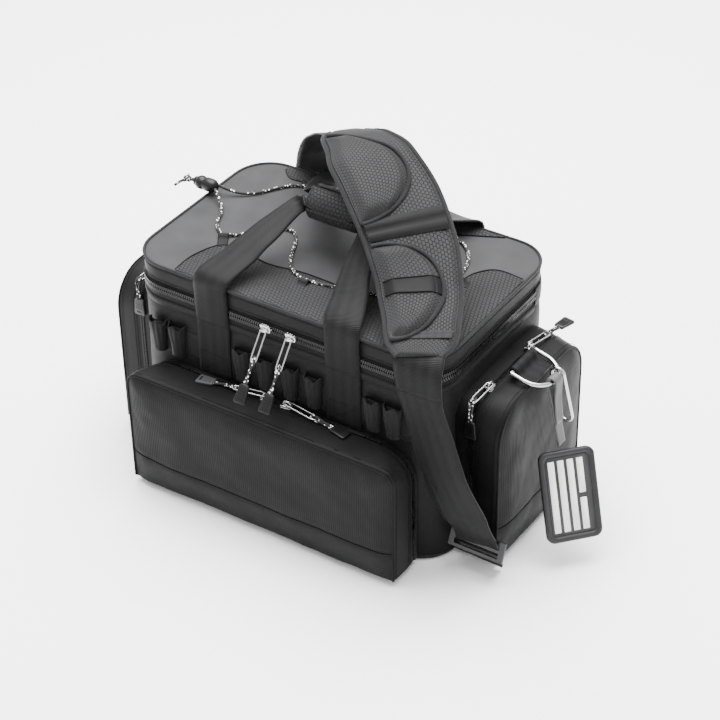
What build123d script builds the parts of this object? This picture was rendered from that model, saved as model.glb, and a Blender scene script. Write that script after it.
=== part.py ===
from build123d import *
import math
import os

# Padded shoulder bag for film and sound equipment.
# Frame: origin at the centre of the base, +X to the bag's right, -Y to its front, +Z up. Millimetres.

# Driving dimensions of the bag body
BODY_WIDTH = 440.0
BODY_DEPTH = 276.0
BODY_HEIGHT = 304.0
CORNER_RADIUS = 48.0
LID_HEIGHT = 33.0

# Walls and sheets
SKIN = 1.5
FOAM = 11.0
LINER = 1.0
LAYER_GAP = 0.1
SPLIT_GAP = 0.3
BASE_SKIN = 6.0
BASE_BOARD = 6.0
ZIP_BAND_LOW = 13.0
ZIP_BAND_HIGH = 7.0
ZIP_BAND_WALL = 3.0
LID_FOAM = 12.0
PIPING_RADIUS = 2.2

# Outside pockets
FRONT_POCKET_WIDTH = 388.0
FRONT_POCKET_DEPTH = 58.0
FRONT_POCKET_TOP = 170.0
SIDE_POCKET_WIDTH = 200.0
SIDE_POCKET_DEPTH = 64.0
SIDE_POCKET_TOP = 228.0
SIDE_POCKET_SHIFT = 4.0
POCKET_FLOOR_Z = 6.0
POCKET_WALL = 3.0
POCKET_PANEL = 5.0
FRONT_RIM = 9.0
SIDE_RIM = 22.0
POCKET_CORNER = 14.0

# Webbing
HANDLE_WEBBING = 48.0
STRAP_WEBBING = 60.0
WEBBING_THICKNESS = 2.4
HANDLE_LEG_X = 94.0
PIVOT_BELOW_TOP = 42.0
GRIP_ABOVE_TOP = 64.0
GRIP_BAR_RADIUS = 7.0
GRIP_BAR_LENGTH = 92.0
WRAP_RADIUS = 21.0
WRAP_WALL = 4.0
PAD_THICKNESS = 13.0
CUSHION_THICKNESS = 8.0
CUSHION_GAP = 2.4
CUSHION_MARGIN = 26.0
CUSHION_TAPER = 14.0

# Small pieces
LOOP_WIDTH = 24.0
LOOP_OUT = 12.0
LOOP_HEIGHT = 44.0
LOOP_ABOVE_POCKET = 13.0
LOOP_WALL = 1.5
LOOP_CENTRES = (-178.0, -149.0, -52.0, -18.0, 18.0, 52.0, 136.0, 163.0)
DIVIDER = 8.0
DIVIDER_X = 70.0
DIVIDER_BELOW_TOP = 74.0
RING_WIRE = 2.6
RING_WIDTH = 52.0
RING_REACH = 44.0
RING_BAR_OUT = 36.0
RING_BAR_RISE = 12.0
RING_DROOP = 15.0
CORD_DIAMETER = 4.0
TAG_WIDTH = 70.0
TAG_HEIGHT = 112.0
TAG_THICKNESS = 8.0
TAG_RIM = 8.0
TAG_TURN = -42.0
TAG_LEAN = -26.0
TAG_STRAP_WIDTH = 15.0
TAG_STRAP_SHEET = 2.0
CARD_PLAY = 0.6
HOOK_WIRE = 2.2
HOOK_HALF = 8.0
HOOK_LENGTH = 56.0
BUCKLE_WIDTH = 74.0
BUCKLE_HEIGHT = 26.0
BUCKLE_THICKNESS = 3.0
BUCKLE_SLOT = 7.0
BUCKLE_LEAN = 24.0

# Zip sliders and pulls
SLIDER_WIRE = 1.1
LUG_HEIGHT = 7.0
WIRE_HALF = 3.6
PULL_TAB = 24.0
PULL_TAB_WIDTH = 17.0
PULL_TAB_THICKNESS = 3.6
MAIN_SLIDERS = (("left", -15.0), ("right", 21.0))
MAIN_PULL_ANGLE = 52.0
POCKET_SLIDERS = (("left", -14.0, 187.0), ("right", 16.0, -7.0))
REAR_SLIDER_Y = 40.0
FRONT_SLIDER_Y = -54.0

# Places that follow from the sizes above
HALF_WIDTH = BODY_WIDTH / 2
HALF_DEPTH = BODY_DEPTH / 2
FRONT_FACE = -HALF_DEPTH
FRONT_POCKET_FACE = FRONT_FACE - FRONT_POCKET_DEPTH
SIDE_POCKET_FACE = HALF_WIDTH + SIDE_POCKET_DEPTH
SIDE_POCKET_FRONT = SIDE_POCKET_SHIFT - SIDE_POCKET_WIDTH / 2
BASE_TOP = BASE_SKIN + BASE_BOARD
LID_SPLIT_Z = BODY_HEIGHT - LID_HEIGHT
HANDLE_PIVOT_Z = BODY_HEIGHT - PIVOT_BELOW_TOP
GRIP_Z = BODY_HEIGHT + GRIP_ABOVE_TOP
LOOP_LOW_Z = FRONT_POCKET_TOP + LOOP_ABOVE_POCKET
DIVIDER_TOP = BODY_HEIGHT - DIVIDER_BELOW_TOP
RING_BAR_X = HALF_WIDTH + RING_BAR_OUT
RING_BAR_Z = SIDE_POCKET_TOP + RING_BAR_RISE
ZIP_LOW_Z = LID_SPLIT_Z - ZIP_BAND_LOW
ZIP_HIGH_Z = LID_SPLIT_Z + ZIP_BAND_HIGH


def span_box(x_low, x_high, y_low, y_high, z_low, z_high):
    """Box between two corners."""
    centre = ((x_low + x_high) / 2, (y_low + y_high) / 2, (z_low + z_high) / 2)
    return Pos(*centre) * Box(x_high - x_low, y_high - y_low, z_high - z_low)


def body_slab(inset, z_low, z_high):
    """Solid with the bag's rounded plan, drawn in from the outer face by inset."""
    plan = RectangleRounded(BODY_WIDTH - 2 * inset, BODY_DEPTH - 2 * inset, CORNER_RADIUS - inset)
    return Pos(0, 0, z_low) * extrude(plan, z_high - z_low)


def body_ring(inset, wall, z_low, z_high):
    """Upright wall that follows the bag's plan."""
    return body_slab(inset, z_low, z_high) - body_slab(inset + wall, z_low - 1, z_high + 1)


def rod(start, end, radius):
    """Round bar between two points."""
    direction = Vector(*end) - Vector(*start)
    plane = Plane(origin=start, z_dir=direction)
    return plane * extrude(Circle(radius), direction.length)


def ribbon(stations, thickness):
    """Flat band lofted through (centre, across direction, width) stations."""
    centres = [Vector(*station[0]) for station in stations]
    faces = []
    for index, (_, across, width) in enumerate(stations):
        before = centres[max(index - 1, 0)]
        after = centres[min(index + 1, len(centres) - 1)]
        plane = Plane(origin=centres[index], x_dir=across, z_dir=(after - before))
        faces.append(plane * Rectangle(width, thickness))
    return loft(faces, ruled=True)


def lifted(stations, height):
    """Stations moved along the band's own face normal."""
    centres = [Vector(*station[0]) for station in stations]
    moved = []
    for index, (_, across, width) in enumerate(stations):
        tangent = centres[min(index + 1, len(centres) - 1)] - centres[max(index - 1, 0)]
        normal = tangent.cross(Vector(*across)).normalized()
        centre = centres[index] + normal * height
        moved.append(((centre.X, centre.Y, centre.Z), across, width))
    return moved


def node(name, *shapes):
    """Write one sub-part."""
    shape = shapes[0] if len(shapes) == 1 else Compound(children=list(shapes))
    export_step(shape, f"parts/{name}.step")


def build_body():
    """Base, padded walls, outer cloth, liner, lower zip tape and dividers."""
    foam_inset = SKIN + LAYER_GAP
    liner_inset = foam_inset + FOAM + LAYER_GAP
    node("base_skin", body_slab(0, 0, BASE_SKIN))
    node("base_board", body_slab(foam_inset, BASE_SKIN, BASE_TOP))

    foam = body_ring(foam_inset, FOAM, BASE_TOP, ZIP_LOW_Z)
    straight_y = HALF_DEPTH - CORNER_RADIUS
    reach = BODY_WIDTH
    node("front_wall_foam", foam & span_box(-reach, reach, -reach, -straight_y, 0, BODY_HEIGHT))
    node("rear_wall_foam", foam & span_box(-reach, reach, straight_y, reach, 0, BODY_HEIGHT))
    sides = [foam & span_box(*x_span, -straight_y, straight_y, 0, BODY_HEIGHT)
             for x_span in ((-reach, 0), (0, reach))]
    node("side_wall_foam", *sides)

    behind = span_box(-reach, reach, straight_y, reach, 0, BODY_HEIGHT)
    hinge_cloth = body_ring(0, SKIN, ZIP_LOW_Z, LID_SPLIT_Z - SPLIT_GAP) & behind
    node("outer_skin", body_ring(0, SKIN, BASE_SKIN, ZIP_LOW_Z) + hinge_cloth)
    node("body_zip_tape", body_ring(0, ZIP_BAND_WALL, ZIP_LOW_Z, LID_SPLIT_Z - SPLIT_GAP) - behind)

    liner_wall = body_ring(liner_inset, LINER, BASE_TOP, ZIP_LOW_Z)
    node("inner_liner", liner_wall + body_slab(liner_inset, BASE_TOP, BASE_TOP + LINER))

    divider_half = HALF_DEPTH - liner_inset - LINER - 0.5
    for side, name in ((-1, "left_divider"), (1, "right_divider")):
        middle = side * DIVIDER_X
        low = BASE_TOP + LINER + LAYER_GAP
        panel = span_box(middle - DIVIDER / 2, middle + DIVIDER / 2, -divider_half, divider_half, low, DIVIDER_TOP)
        node(name, panel)


def build_lid():
    """Lid cloth, its foam, upper zip tape, edge piping, lacing cord, tabs and cord lock."""
    band = body_ring(0, SKIN, ZIP_HIGH_Z, BODY_HEIGHT - SKIN)
    behind = span_box(-BODY_WIDTH, BODY_WIDTH, HALF_DEPTH - CORNER_RADIUS, BODY_WIDTH, 0, BODY_HEIGHT)
    hinge_cloth = body_ring(0, SKIN, LID_SPLIT_Z + SPLIT_GAP, ZIP_HIGH_Z) & behind
    top = body_slab(0, BODY_HEIGHT - SKIN, BODY_HEIGHT)
    node("lid_skin", band + hinge_cloth + top)
    node("lid_zip_tape", body_ring(0, ZIP_BAND_WALL, LID_SPLIT_Z + SPLIT_GAP, ZIP_HIGH_Z) - behind)
    foam_top = BODY_HEIGHT - SKIN - LAYER_GAP
    node("lid_foam", body_slab(SKIN + LAYER_GAP, foam_top - LID_FOAM, foam_top))
    piping_plan = RectangleRounded(BODY_WIDTH, BODY_DEPTH, CORNER_RADIUS)
    path = (Pos(0, 0, BODY_HEIGHT) * piping_plan).face().outer_wire()
    start = path @ 0
    section = Plane(origin=start, z_dir=path % 0) * Circle(PIPING_RADIUS)
    piping = sweep(section, path=path, transition=Transition.ROUND)
    node("lid_piping", piping - body_slab(0, 0, BODY_HEIGHT))


# Lacing cord on the lid: it leaves the cord lock, goes round the tabs and comes back.
CORD_Z = BODY_HEIGHT + CORD_DIAMETER / 2 + 0.6
LOCK_X = -222.0
LOCK_Y = 30.0
LOCK_Z = BODY_HEIGHT + 12.5
LOCK_RADIUS = 9.0
LOCK_LENGTH = 30.0
LACING = (
    (-207.0, 35.0, LOCK_Z), (-190.0, 40.0, CORD_Z + 3), (-170.0, 53.0, CORD_Z), (-155.0, 76.0, CORD_Z),
    (-138.0, 101.0, CORD_Z), (-106.0, 108.0, CORD_Z), (-60.0, 96.0, CORD_Z), (-12.0, 100.0, CORD_Z),
    (38.0, 112.0, CORD_Z), (84.0, 108.0, CORD_Z), (122.0, 93.0, CORD_Z), (146.0, 60.0, CORD_Z),
    (150.0, 14.0, CORD_Z), (134.0, -26.0, CORD_Z), (104.0, -52.0, CORD_Z), (62.0, -60.0, CORD_Z),
    (20.0, -72.0, CORD_Z), (-18.0, -74.0, CORD_Z), (-44.0, -48.0, CORD_Z), (-58.0, -12.0, CORD_Z),
    (-76.0, 12.0, CORD_Z), (-104.0, 2.0, CORD_Z), (-122.0, -28.0, CORD_Z), (-146.0, -47.0, CORD_Z),
    (-168.0, -28.0, CORD_Z), (-176.0, -4.0, CORD_Z + 1), (-190.0, 14.0, CORD_Z + 3), (-207.0, 25.0, LOCK_Z),
)


def cord_radii(points):
    """Largest even arc at each corner of a cord's route."""
    radii = []
    for before, here, after in zip(points, points[1:], points[2:]):
        arriving = Vector(*here) - Vector(*before)
        leaving = Vector(*after) - Vector(*here)
        half_turn = math.radians(arriving.get_angle(leaving)) / 2
        radii.append(0.45 * min(arriving.length, leaving.length) / math.tan(half_turn))
    return radii


def cord_tube(points, diameter):
    """Round cord along straight runs joined by tangent arcs."""
    radii = cord_radii(points)
    print("cord radii", [round(radius) for radius in radii])
    route = FilletPolyline(*points, radius=radii)
    section = Plane(origin=points[0], z_dir=route % 0) * Circle(diameter / 2)
    tube = sweep(section, path=route)
    ratio = tube.volume / (math.pi * diameter ** 2 / 4 * route.length)
    print("cord length", round(route.length), "volume over section times length", round(ratio, 3))
    return tube


TAB_PLACES = ((-124.0, 108.0, 60.0), (-150.0, -50.0, 210.0), (-2.0, -78.0, 270.0), (84.0, 112.0, 80.0),
              (156.0, 20.0, 0.0))


def build_lacing():
    """Cord, the flat tabs that hold it, the cord lock, its button and the knotted ends."""
    node("shock_cord", cord_tube(LACING, CORD_DIAMETER))
    tabs = []
    for x, y, turn in TAB_PLACES:
        tabs.append(Pos(x, y, BODY_HEIGHT) * Rot(0, 0, turn) * Pos(11, 0, 0.3) * Box(20, 12, 0.5))
    node("cord_tabs", *tabs)
    lock_place = Pos(LOCK_X, LOCK_Y, LOCK_Z) * Rot(0, 90, 0)
    button_radius = 6.1
    barrel = Cylinder(LOCK_RADIUS, LOCK_LENGTH) - Pos(0, 0, -7.5) * Cylinder(button_radius + 0.1, 27)
    node("cord_lock_barrel", lock_place * barrel)
    node("cord_lock_button", lock_place * Pos(0, 0, -9.5) * Cylinder(button_radius, 21))
    end_x = LOCK_X - LOCK_LENGTH / 2 - 6.0
    knot = Pos(end_x - 12, LOCK_Y, LOCK_Z - 2) * Sphere(5)
    knot += rod((end_x, LOCK_Y, LOCK_Z), (end_x - 12, LOCK_Y, LOCK_Z - 2), 3)
    for side in (-1, 1):
        tail_end = (end_x - 22, LOCK_Y + 15 * side, LOCK_Z - 7)
        knot += rod((end_x - 13, LOCK_Y + 2.4 * side, LOCK_Z - 3), tail_end, 1.9)
    node("cord_knot", knot)


def pocket_arch(width, low, high, corner):
    """Pocket outline: square at the bottom, rounded at the two top corners."""
    outline = Pos(0, (low + high) / 2) * Rectangle(width, high - low)
    return fillet(outline.vertices().group_by(Axis.Y)[-1], corner)


def build_pocket(name, plane, width, top, depth, rim_depth):
    """Fixed rim and floor on the body, and the front shell that folds down when unzipped."""
    inner_width = width - 2 * POCKET_WALL
    corner = POCKET_CORNER
    inner_corner = corner - POCKET_WALL
    floor_top = POCKET_FLOOR_Z + POCKET_WALL
    rim = extrude(pocket_arch(width, POCKET_FLOOR_Z, top, corner), rim_depth)
    rim -= extrude(pocket_arch(inner_width, floor_top, top - POCKET_WALL, inner_corner), rim_depth)
    floor_outline = Pos(0, POCKET_FLOOR_Z + POCKET_WALL / 2) * Rectangle(width, POCKET_WALL)
    base = rim + extrude(floor_outline, depth)
    node(f"{name}_base", plane * (Pos(0, 0, SPLIT_GAP) * base))

    back = rim_depth + 2 * SPLIT_GAP
    shell_low = floor_top + SPLIT_GAP
    hollow_depth = depth - back - POCKET_PANEL
    shell = extrude(pocket_arch(width, shell_low, top, corner), depth - back)
    shell -= extrude(pocket_arch(inner_width, -top, top - POCKET_WALL, inner_corner), hollow_depth)
    node(f"{name}_shell", plane * (Pos(0, 0, back) * shell))


def build_tool_loops():
    """Open elastic loops along the front wall, above the front pocket."""
    loops = []
    for centre in LOOP_CENTRES:
        outer = span_box(centre - LOOP_WIDTH / 2, centre + LOOP_WIDTH / 2, FRONT_FACE - LOOP_OUT,
                         FRONT_FACE - SPLIT_GAP, LOOP_LOW_Z, LOOP_LOW_Z + LOOP_HEIGHT)
        half_inside = LOOP_WIDTH / 2 - LOOP_WALL
        inside = span_box(centre - half_inside, centre + half_inside, FRONT_FACE - LOOP_OUT + LOOP_WALL,
                          FRONT_FACE, LOOP_LOW_Z - 1, LOOP_LOW_Z + LOOP_HEIGHT + 1)
        loops.append(outer - inside)
    node("tool_loops", *loops)


def handle_loop(side, bar_y):
    """Two webbing legs and the bar of the grip, for the front (-1) or the rear (1) handle."""
    wall_y = side * (HALF_DEPTH + 4.2)
    pieces = [rod((-GRIP_BAR_LENGTH / 2, bar_y, GRIP_Z), (GRIP_BAR_LENGTH / 2, bar_y, GRIP_Z), GRIP_BAR_RADIUS)]
    for end in (-1, 1):
        stations = [
            ((end * HANDLE_LEG_X, wall_y, HANDLE_PIVOT_Z + 0.5), (1, 0, 0), HANDLE_WEBBING),
            ((end * HANDLE_LEG_X, wall_y, BODY_HEIGHT + 4), (1, 0, 0), HANDLE_WEBBING),
            ((end * (HANDLE_LEG_X - 4), side * (HALF_DEPTH - 7), BODY_HEIGHT + 14), (1, 0, 0), HANDLE_WEBBING),
            ((end * (HANDLE_LEG_X - 24), side * HALF_DEPTH * 0.536, BODY_HEIGHT + 38), (1, 0, 0),
             HANDLE_WEBBING * 0.8),
            ((end * (HANDLE_LEG_X - 44), bar_y + side * 4, GRIP_Z), (1, 0, 0), HANDLE_WEBBING * 0.42),
        ]
        pieces.append(ribbon(stations, WEBBING_THICKNESS))
    return pieces[0] + pieces[1] + pieces[2]


def build_handles():
    """Sewn webbing on the walls, the two carrying handles and the wrap that joins them."""
    anchors = []
    for side in (-1, 1):
        low = FRONT_POCKET_TOP + 1.5
        near = HALF_DEPTH + SPLIT_GAP
        far = near + WEBBING_THICKNESS
        for end in (-1, 1):
            x = end * HANDLE_LEG_X
            y_low, y_high = sorted((side * near, side * far))
            half = HANDLE_WEBBING / 2
            anchors.append(span_box(x - half, x + half, y_low, y_high, low, HANDLE_PIVOT_Z - 0.5))
    node("handle_anchors", *anchors)

    bar_offset = GRIP_BAR_RADIUS + SPLIT_GAP
    node("front_handle", handle_loop(-1, -bar_offset))
    node("rear_handle", handle_loop(1, bar_offset))

    length = GRIP_BAR_LENGTH - 34
    tube = Cylinder(WRAP_RADIUS, length) - Cylinder(WRAP_RADIUS - WRAP_WALL, length + 2)
    tube = Pos(0, 0, GRIP_Z) * Rot(0, 90, 0) * tube
    flap_side = span_box(-length, length, -WRAP_RADIUS - 1, -SPLIT_GAP, GRIP_Z - 2, GRIP_Z + WRAP_RADIUS + 1)
    wrap_cut = span_box(-length, length, -WRAP_RADIUS - 1, 0, GRIP_Z - 2 - SPLIT_GAP, GRIP_Z + WRAP_RADIUS + 1)
    node("grip_wrap", tube - wrap_cut)
    node("grip_flap", tube & flap_side)


# Shoulder strap: from the foot of the left pocket up the rear, over the lid, and down the front right.
# Its places are set out on a bag of the standard size, and stretch with the bag.
STANDARD_SIZE = (440.0, 276.0, 304.0)
ACROSS_REAR = (0.80, 0.60, 0)
ACROSS_PAD = (0.64, 0.76, 0)
FOOT_OUT = 46.0
FOOT_AHEAD = 22.0
FOOT_Z = 48.0
STRAP_FOOT = (HALF_WIDTH + FOOT_OUT, SIDE_POCKET_FRONT - FOOT_AHEAD, FOOT_Z)
REAR_FOOT = (-STRAP_FOOT[0], 2 * SIDE_POCKET_SHIFT - STRAP_FOOT[1], FOOT_Z)
REAR_TURN = Pos(0, 2 * SIDE_POCKET_SHIFT, 0) * Rot(0, 0, 180)
LEG_ABOVE_FOOT = ((2.0, 3.0, 14.0), (10.0, 16.0, 48.0))
REAR_LEG = (
    ((-232.0, 154.0, 152.0), (1, 0.05, 0.25), STRAP_WEBBING),
    ((-186.0, 158.0, 222.0), (1, 0, 0.25), STRAP_WEBBING),
    ((-150.0, 156.0, 270.0), (1, 0.05, 0.15), STRAP_WEBBING),
    ((-141.0, 155.5, 292.0), (1, 0.1, 0.1), STRAP_WEBBING),
)
UPPER_STRAP = (
    ((-140.0, 155.0, 294.0), (1, 0.1, 0.1), STRAP_WEBBING),
    ((-129.0, 147.5, 324.0), (1, 0.3, 0), STRAP_WEBBING),
    ((-103.0, 123.5, 366.0), (0.9, 0.5, 0), STRAP_WEBBING),
    ((-66.0, 94.0, 406.0), ACROSS_REAR, STRAP_WEBBING),
    ((-34.0, 70.0, 428.0), ACROSS_REAR, STRAP_WEBBING),
)
PAD = (
    ((-33.0, 69.0, 428.6), ACROSS_REAR, 66.0),
    ((-8.0, 50.0, 437.0), (0.75, 0.66, 0), 84.0),
    ((28.0, 28.0, 431.0), (0.68, 0.73, 0), 106.0),
    ((78.0, -2.0, 408.0), ACROSS_PAD, 112.0),
    ((121.0, -32.0, 374.0), (0.68, 0.73, 0), 108.0),
    ((155.0, -68.0, 344.0), (0.80, 0.60, 0), 98.0),
    ((184.0, -112.0, 325.0), (0.90, 0.43, 0), 86.0),
    ((201.0, -146.0, 314.0), (0.95, 0.30, 0), 72.0),
)
LOWER_STRAP = (
    ((202.0, -147.5, 313.0), (0.97, 0.20, 0), STRAP_WEBBING),
    ((206.0, -156.0, 296.0), (1, 0.05, -0.1), STRAP_WEBBING),
    ((208.0, -156.0, 268.5), (1, 0, -0.15), STRAP_WEBBING),
)
FRONT_LEG = (
    ((209.0, -155.4, 263.5), (1, 0, -0.15), STRAP_WEBBING),
    ((216.0, -150.0, 226.0), (1, 0, -0.22), STRAP_WEBBING),
    ((236.0, -146.0, 156.0), (1, 0.05, -0.25), STRAP_WEBBING),
)


def set_out(stations):
    """Stations stretched from the standard bag's size to this one's."""
    scales = [size / standard for size, standard in zip((BODY_WIDTH, BODY_DEPTH, BODY_HEIGHT), STANDARD_SIZE)]
    placed = []
    for centre, across, width in stations:
        placed.append((tuple(value * scale for value, scale in zip(centre, scales)), across, width))
    return placed


def leg_foot(foot, side):
    """The leg's two lowest stations, just above its buckle, for the front (-1) or the rear (1)."""
    (low_in, low_ahead, low_up), (in_, ahead, up) = LEG_ABOVE_FOOT
    low = (foot[0] + side * low_in, foot[1] + side * low_ahead, foot[2] + low_up)
    high = (foot[0] + side * in_, foot[1] + side * ahead, foot[2] + up)
    return [(low, (1, 0.05, 0), STRAP_WEBBING - 4), (high, (1, 0.15, -0.15 * -side), STRAP_WEBBING)]


def strap_buckle():
    """Flat metal loop with a middle bar."""
    slot = Box(STRAP_WEBBING, BUCKLE_THICKNESS + 2, BUCKLE_SLOT)
    plate = Box(BUCKLE_WIDTH, BUCKLE_THICKNESS, BUCKLE_HEIGHT)
    for side in (-1, 1):
        plate -= Pos(0, 0, side * (BUCKLE_SLOT / 2 + 2)) * slot
    return Pos(*STRAP_FOOT) * Rot(-BUCKLE_LEAN, 0, 0) * plate


def build_strap():
    """Carrying strap, its shaped pad with two cushions, and its lower ends."""
    node("strap_rear_leg", ribbon(leg_foot(REAR_FOOT, 1) + set_out(REAR_LEG), WEBBING_THICKNESS))
    upper = ribbon(set_out(UPPER_STRAP), WEBBING_THICKNESS)
    lower = ribbon(set_out(LOWER_STRAP), WEBBING_THICKNESS)
    node("strap_webbing", upper, lower)
    pad = set_out(PAD)
    node("shoulder_pad", ribbon(pad, PAD_THICKNESS))
    cushions = []
    for first, last in ((1, 3), (4, 6)):
        stations = lifted(pad[first:last + 1], PAD_THICKNESS / 2 + CUSHION_THICKNESS / 2 + CUSHION_GAP)
        narrow = []
        for index, (centre, across, width) in enumerate(stations):
            taper = 0 if index == 1 else CUSHION_TAPER
            narrow.append((centre, across, width - CUSHION_MARGIN - taper))
        cushions.append(ribbon(narrow, CUSHION_THICKNESS))
    node("pad_cushions", *cushions)
    node("strap_front_leg", ribbon(set_out(FRONT_LEG) + leg_foot(STRAP_FOOT, -1)[::-1], WEBBING_THICKNESS))
    node("front_strap_buckle", strap_buckle())
    node("rear_strap_buckle", REAR_TURN * strap_buckle())
    foot_x, foot_y, foot_z = STRAP_FOOT
    stub = ribbon((
        ((foot_x - 4, SIDE_POCKET_FRONT - 1.8, POCKET_FLOOR_Z + 2), (1, 0, 0), STRAP_WEBBING - 4),
        ((foot_x - 3, SIDE_POCKET_FRONT - 6, foot_z - 26), (1, 0, 0), STRAP_WEBBING - 4),
        ((foot_x, foot_y + 7, foot_z - 14.5), (1, 0, 0), STRAP_WEBBING - 4),
    ), WEBBING_THICKNESS)
    node("strap_anchors", stub, REAR_TURN * stub)


def build_ring_and_tag():
    """D-ring on the right pocket, its webbing loop, the name tag and the snap hook."""
    half = RING_WIDTH / 2 + RING_WIRE
    straight = RING_REACH - half
    droop = math.radians(RING_DROOP)

    def bow_place(y):
        """Place on the bow's centre line at the given y."""
        out = straight + math.sqrt(half ** 2 - y ** 2)
        return Pos(RING_BAR_X + out * math.cos(droop), y, RING_BAR_Z - out * math.sin(droop))

    ring = sweep(Plane(origin=(straight, -half, 0), z_dir=(1, 0, 0)) * Circle(RING_WIRE),
                 path=ThreePointArc((straight, -half, 0), (straight + half, 0, 0), (straight, half, 0)))
    ring += rod((0, -half, 0), (0, half, 0), RING_WIRE)
    for end in (-half, half):
        ring += rod((0, end, 0), (straight, end, 0), RING_WIRE)
        ring += Pos(0, end, 0) * Sphere(RING_WIRE)
    node("d_ring", Pos(RING_BAR_X, 0, RING_BAR_Z) * Rot(0, RING_DROOP, 0) * ring)

    tab_width = RING_WIDTH - 3
    bore = RING_WIRE + 0.05
    sleeve = Cylinder(bore + WEBBING_THICKNESS, tab_width) - Cylinder(bore, tab_width)
    strip = ribbon((
        ((RING_BAR_X + 24, 0, SIDE_POCKET_TOP + 1.7), (0, 1, 0), tab_width),
        ((RING_BAR_X + 11, 0, SIDE_POCKET_TOP + 2.6), (0, 1, 0), tab_width),
        ((RING_BAR_X + 3.6, 0, RING_BAR_Z - 2.0), (0, 1, 0), tab_width),
    ), WEBBING_THICKNESS)
    node("d_ring_tab", Pos(RING_BAR_X, 0, RING_BAR_Z) * Rot(90, 0, 0) * sleeve + strip)

    loop_bore = RING_WIRE + 1.5
    loop_outer = loop_bore + TAG_STRAP_SHEET
    under_bow = bow_place(TAG_STRAP_WIDTH / 3).position
    strap_place = Pos(under_bow.X, 0, under_bow.Z)
    loop = Rot(90, 0, 0) * (Cylinder(loop_outer, TAG_STRAP_WIDTH) - Cylinder(loop_bore, TAG_STRAP_WIDTH))
    band = Rot(0, -9, 0) * Pos(loop_outer - TAG_STRAP_SHEET / 2, 0, -48) * Box(TAG_STRAP_SHEET, TAG_STRAP_WIDTH, 88)
    node("tag_strap", strap_place * (loop + band))
    tag_top = strap_place * Pos(21.5, -6, -90.4) * Rot(0, 0, TAG_TURN) * Rot(0, TAG_LEAN, 0)
    tag_top = tag_top * Pos(0, 0, -TAG_HEIGHT / 2)
    frame = Box(TAG_THICKNESS, TAG_WIDTH, TAG_HEIGHT)
    frame = fillet(frame.edges().filter_by(Axis.X), 10)
    window = Pos(TAG_THICKNESS / 2, 0, 0) * Box(4, TAG_WIDTH - 2 * TAG_RIM, TAG_HEIGHT - 2 * TAG_RIM)
    node("tag_frame", tag_top * (frame - window))
    card = Box(1.2, TAG_WIDTH - 2 * TAG_RIM - CARD_PLAY, TAG_HEIGHT - 2 * TAG_RIM - CARD_PLAY)
    node("tag_card", tag_top * Pos(TAG_THICKNESS / 2 - 1.3, 0, 0) * card)

    hook_place = bow_place(15) * Pos(0, 0, -2.6) * Rot(0, -14, 0)
    top = sweep(Plane(origin=(-HOOK_HALF, 0, 0), z_dir=(0, 0, 1)) * Circle(HOOK_WIRE),
                path=ThreePointArc((-HOOK_HALF, 0, 0), (0, 0, HOOK_HALF), (HOOK_HALF, 0, 0)))
    bottom = Pos(0, 0, -HOOK_LENGTH) * Rot(180, 0, 0) * top
    spine = rod((HOOK_HALF, 0, 0), (HOOK_HALF, 0, -HOOK_LENGTH), HOOK_WIRE)
    stub = rod((-HOOK_HALF, 0, -HOOK_LENGTH), (-HOOK_HALF, 0, -HOOK_LENGTH + 18), HOOK_WIRE)
    node("snap_hook", hook_place * (top + bottom + spine + stub))
    gate = rod((-HOOK_HALF, 0, -HOOK_LENGTH + 18.4), (-HOOK_HALF, 0, -0.4), HOOK_WIRE)
    node("snap_hook_gate", hook_place * gate)


def slider_block(lug_turn):
    """Zip slider that runs along X, with +Z away from the tape and a lug for the pull."""
    lug = Box(7, 3, 5.2) - Pos(0, 0, 0.4) * Rot(90, 0, 0) * Cylinder(SLIDER_WIRE + 0.6, 4)
    return Pos(0, 0, 2.4) * Box(15, 11, 4.8) + Pos(0, 0, LUG_HEIGHT - 0.4) * Rot(0, 0, lug_turn) * lug


def pull_wire(length):
    """Long wire loop, hinged at its origin and lying along +X."""
    half = WIRE_HALF
    loop = rod((0, -half, 0), (0, half, 0), SLIDER_WIRE) + rod((length, -half, 0), (length, half, 0), SLIDER_WIRE)
    for side in (-half, half):
        loop += rod((0, side, 0), (length, side, 0), SLIDER_WIRE)
        loop += Pos(0, side, 0) * Sphere(SLIDER_WIRE) + Pos(length, side, 0) * Sphere(SLIDER_WIRE)
    return loop


def straight_pull(wire, cord):
    """Wire loop, doubled cord and moulded tab in one line along +X."""
    start = wire + SLIDER_WIRE + 0.2
    cords = Pos(start + cord / 2, 0, 0) * Box(cord, 7, 3)
    tab = Pos(start + cord + PULL_TAB / 2 + 0.2, 0, 0) * Box(PULL_TAB, PULL_TAB_WIDTH, PULL_TAB_THICKNESS)
    return [pull_wire(wire), cords, tab]


def bent_pull():
    """Pull that lies on a pocket's top and hangs over its front edge."""
    wire = 42.0
    cord_drop = 27.0
    drop_x = wire + SLIDER_WIRE + 1.7
    cords = Pos(drop_x, 0, -cord_drop / 2) * Box(3, 7, cord_drop)
    tab = Pos(drop_x, 0, -cord_drop - 0.2 - PULL_TAB / 2) * Box(PULL_TAB_THICKNESS, PULL_TAB_WIDTH, PULL_TAB)
    return [pull_wire(wire), cords, tab]


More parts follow.
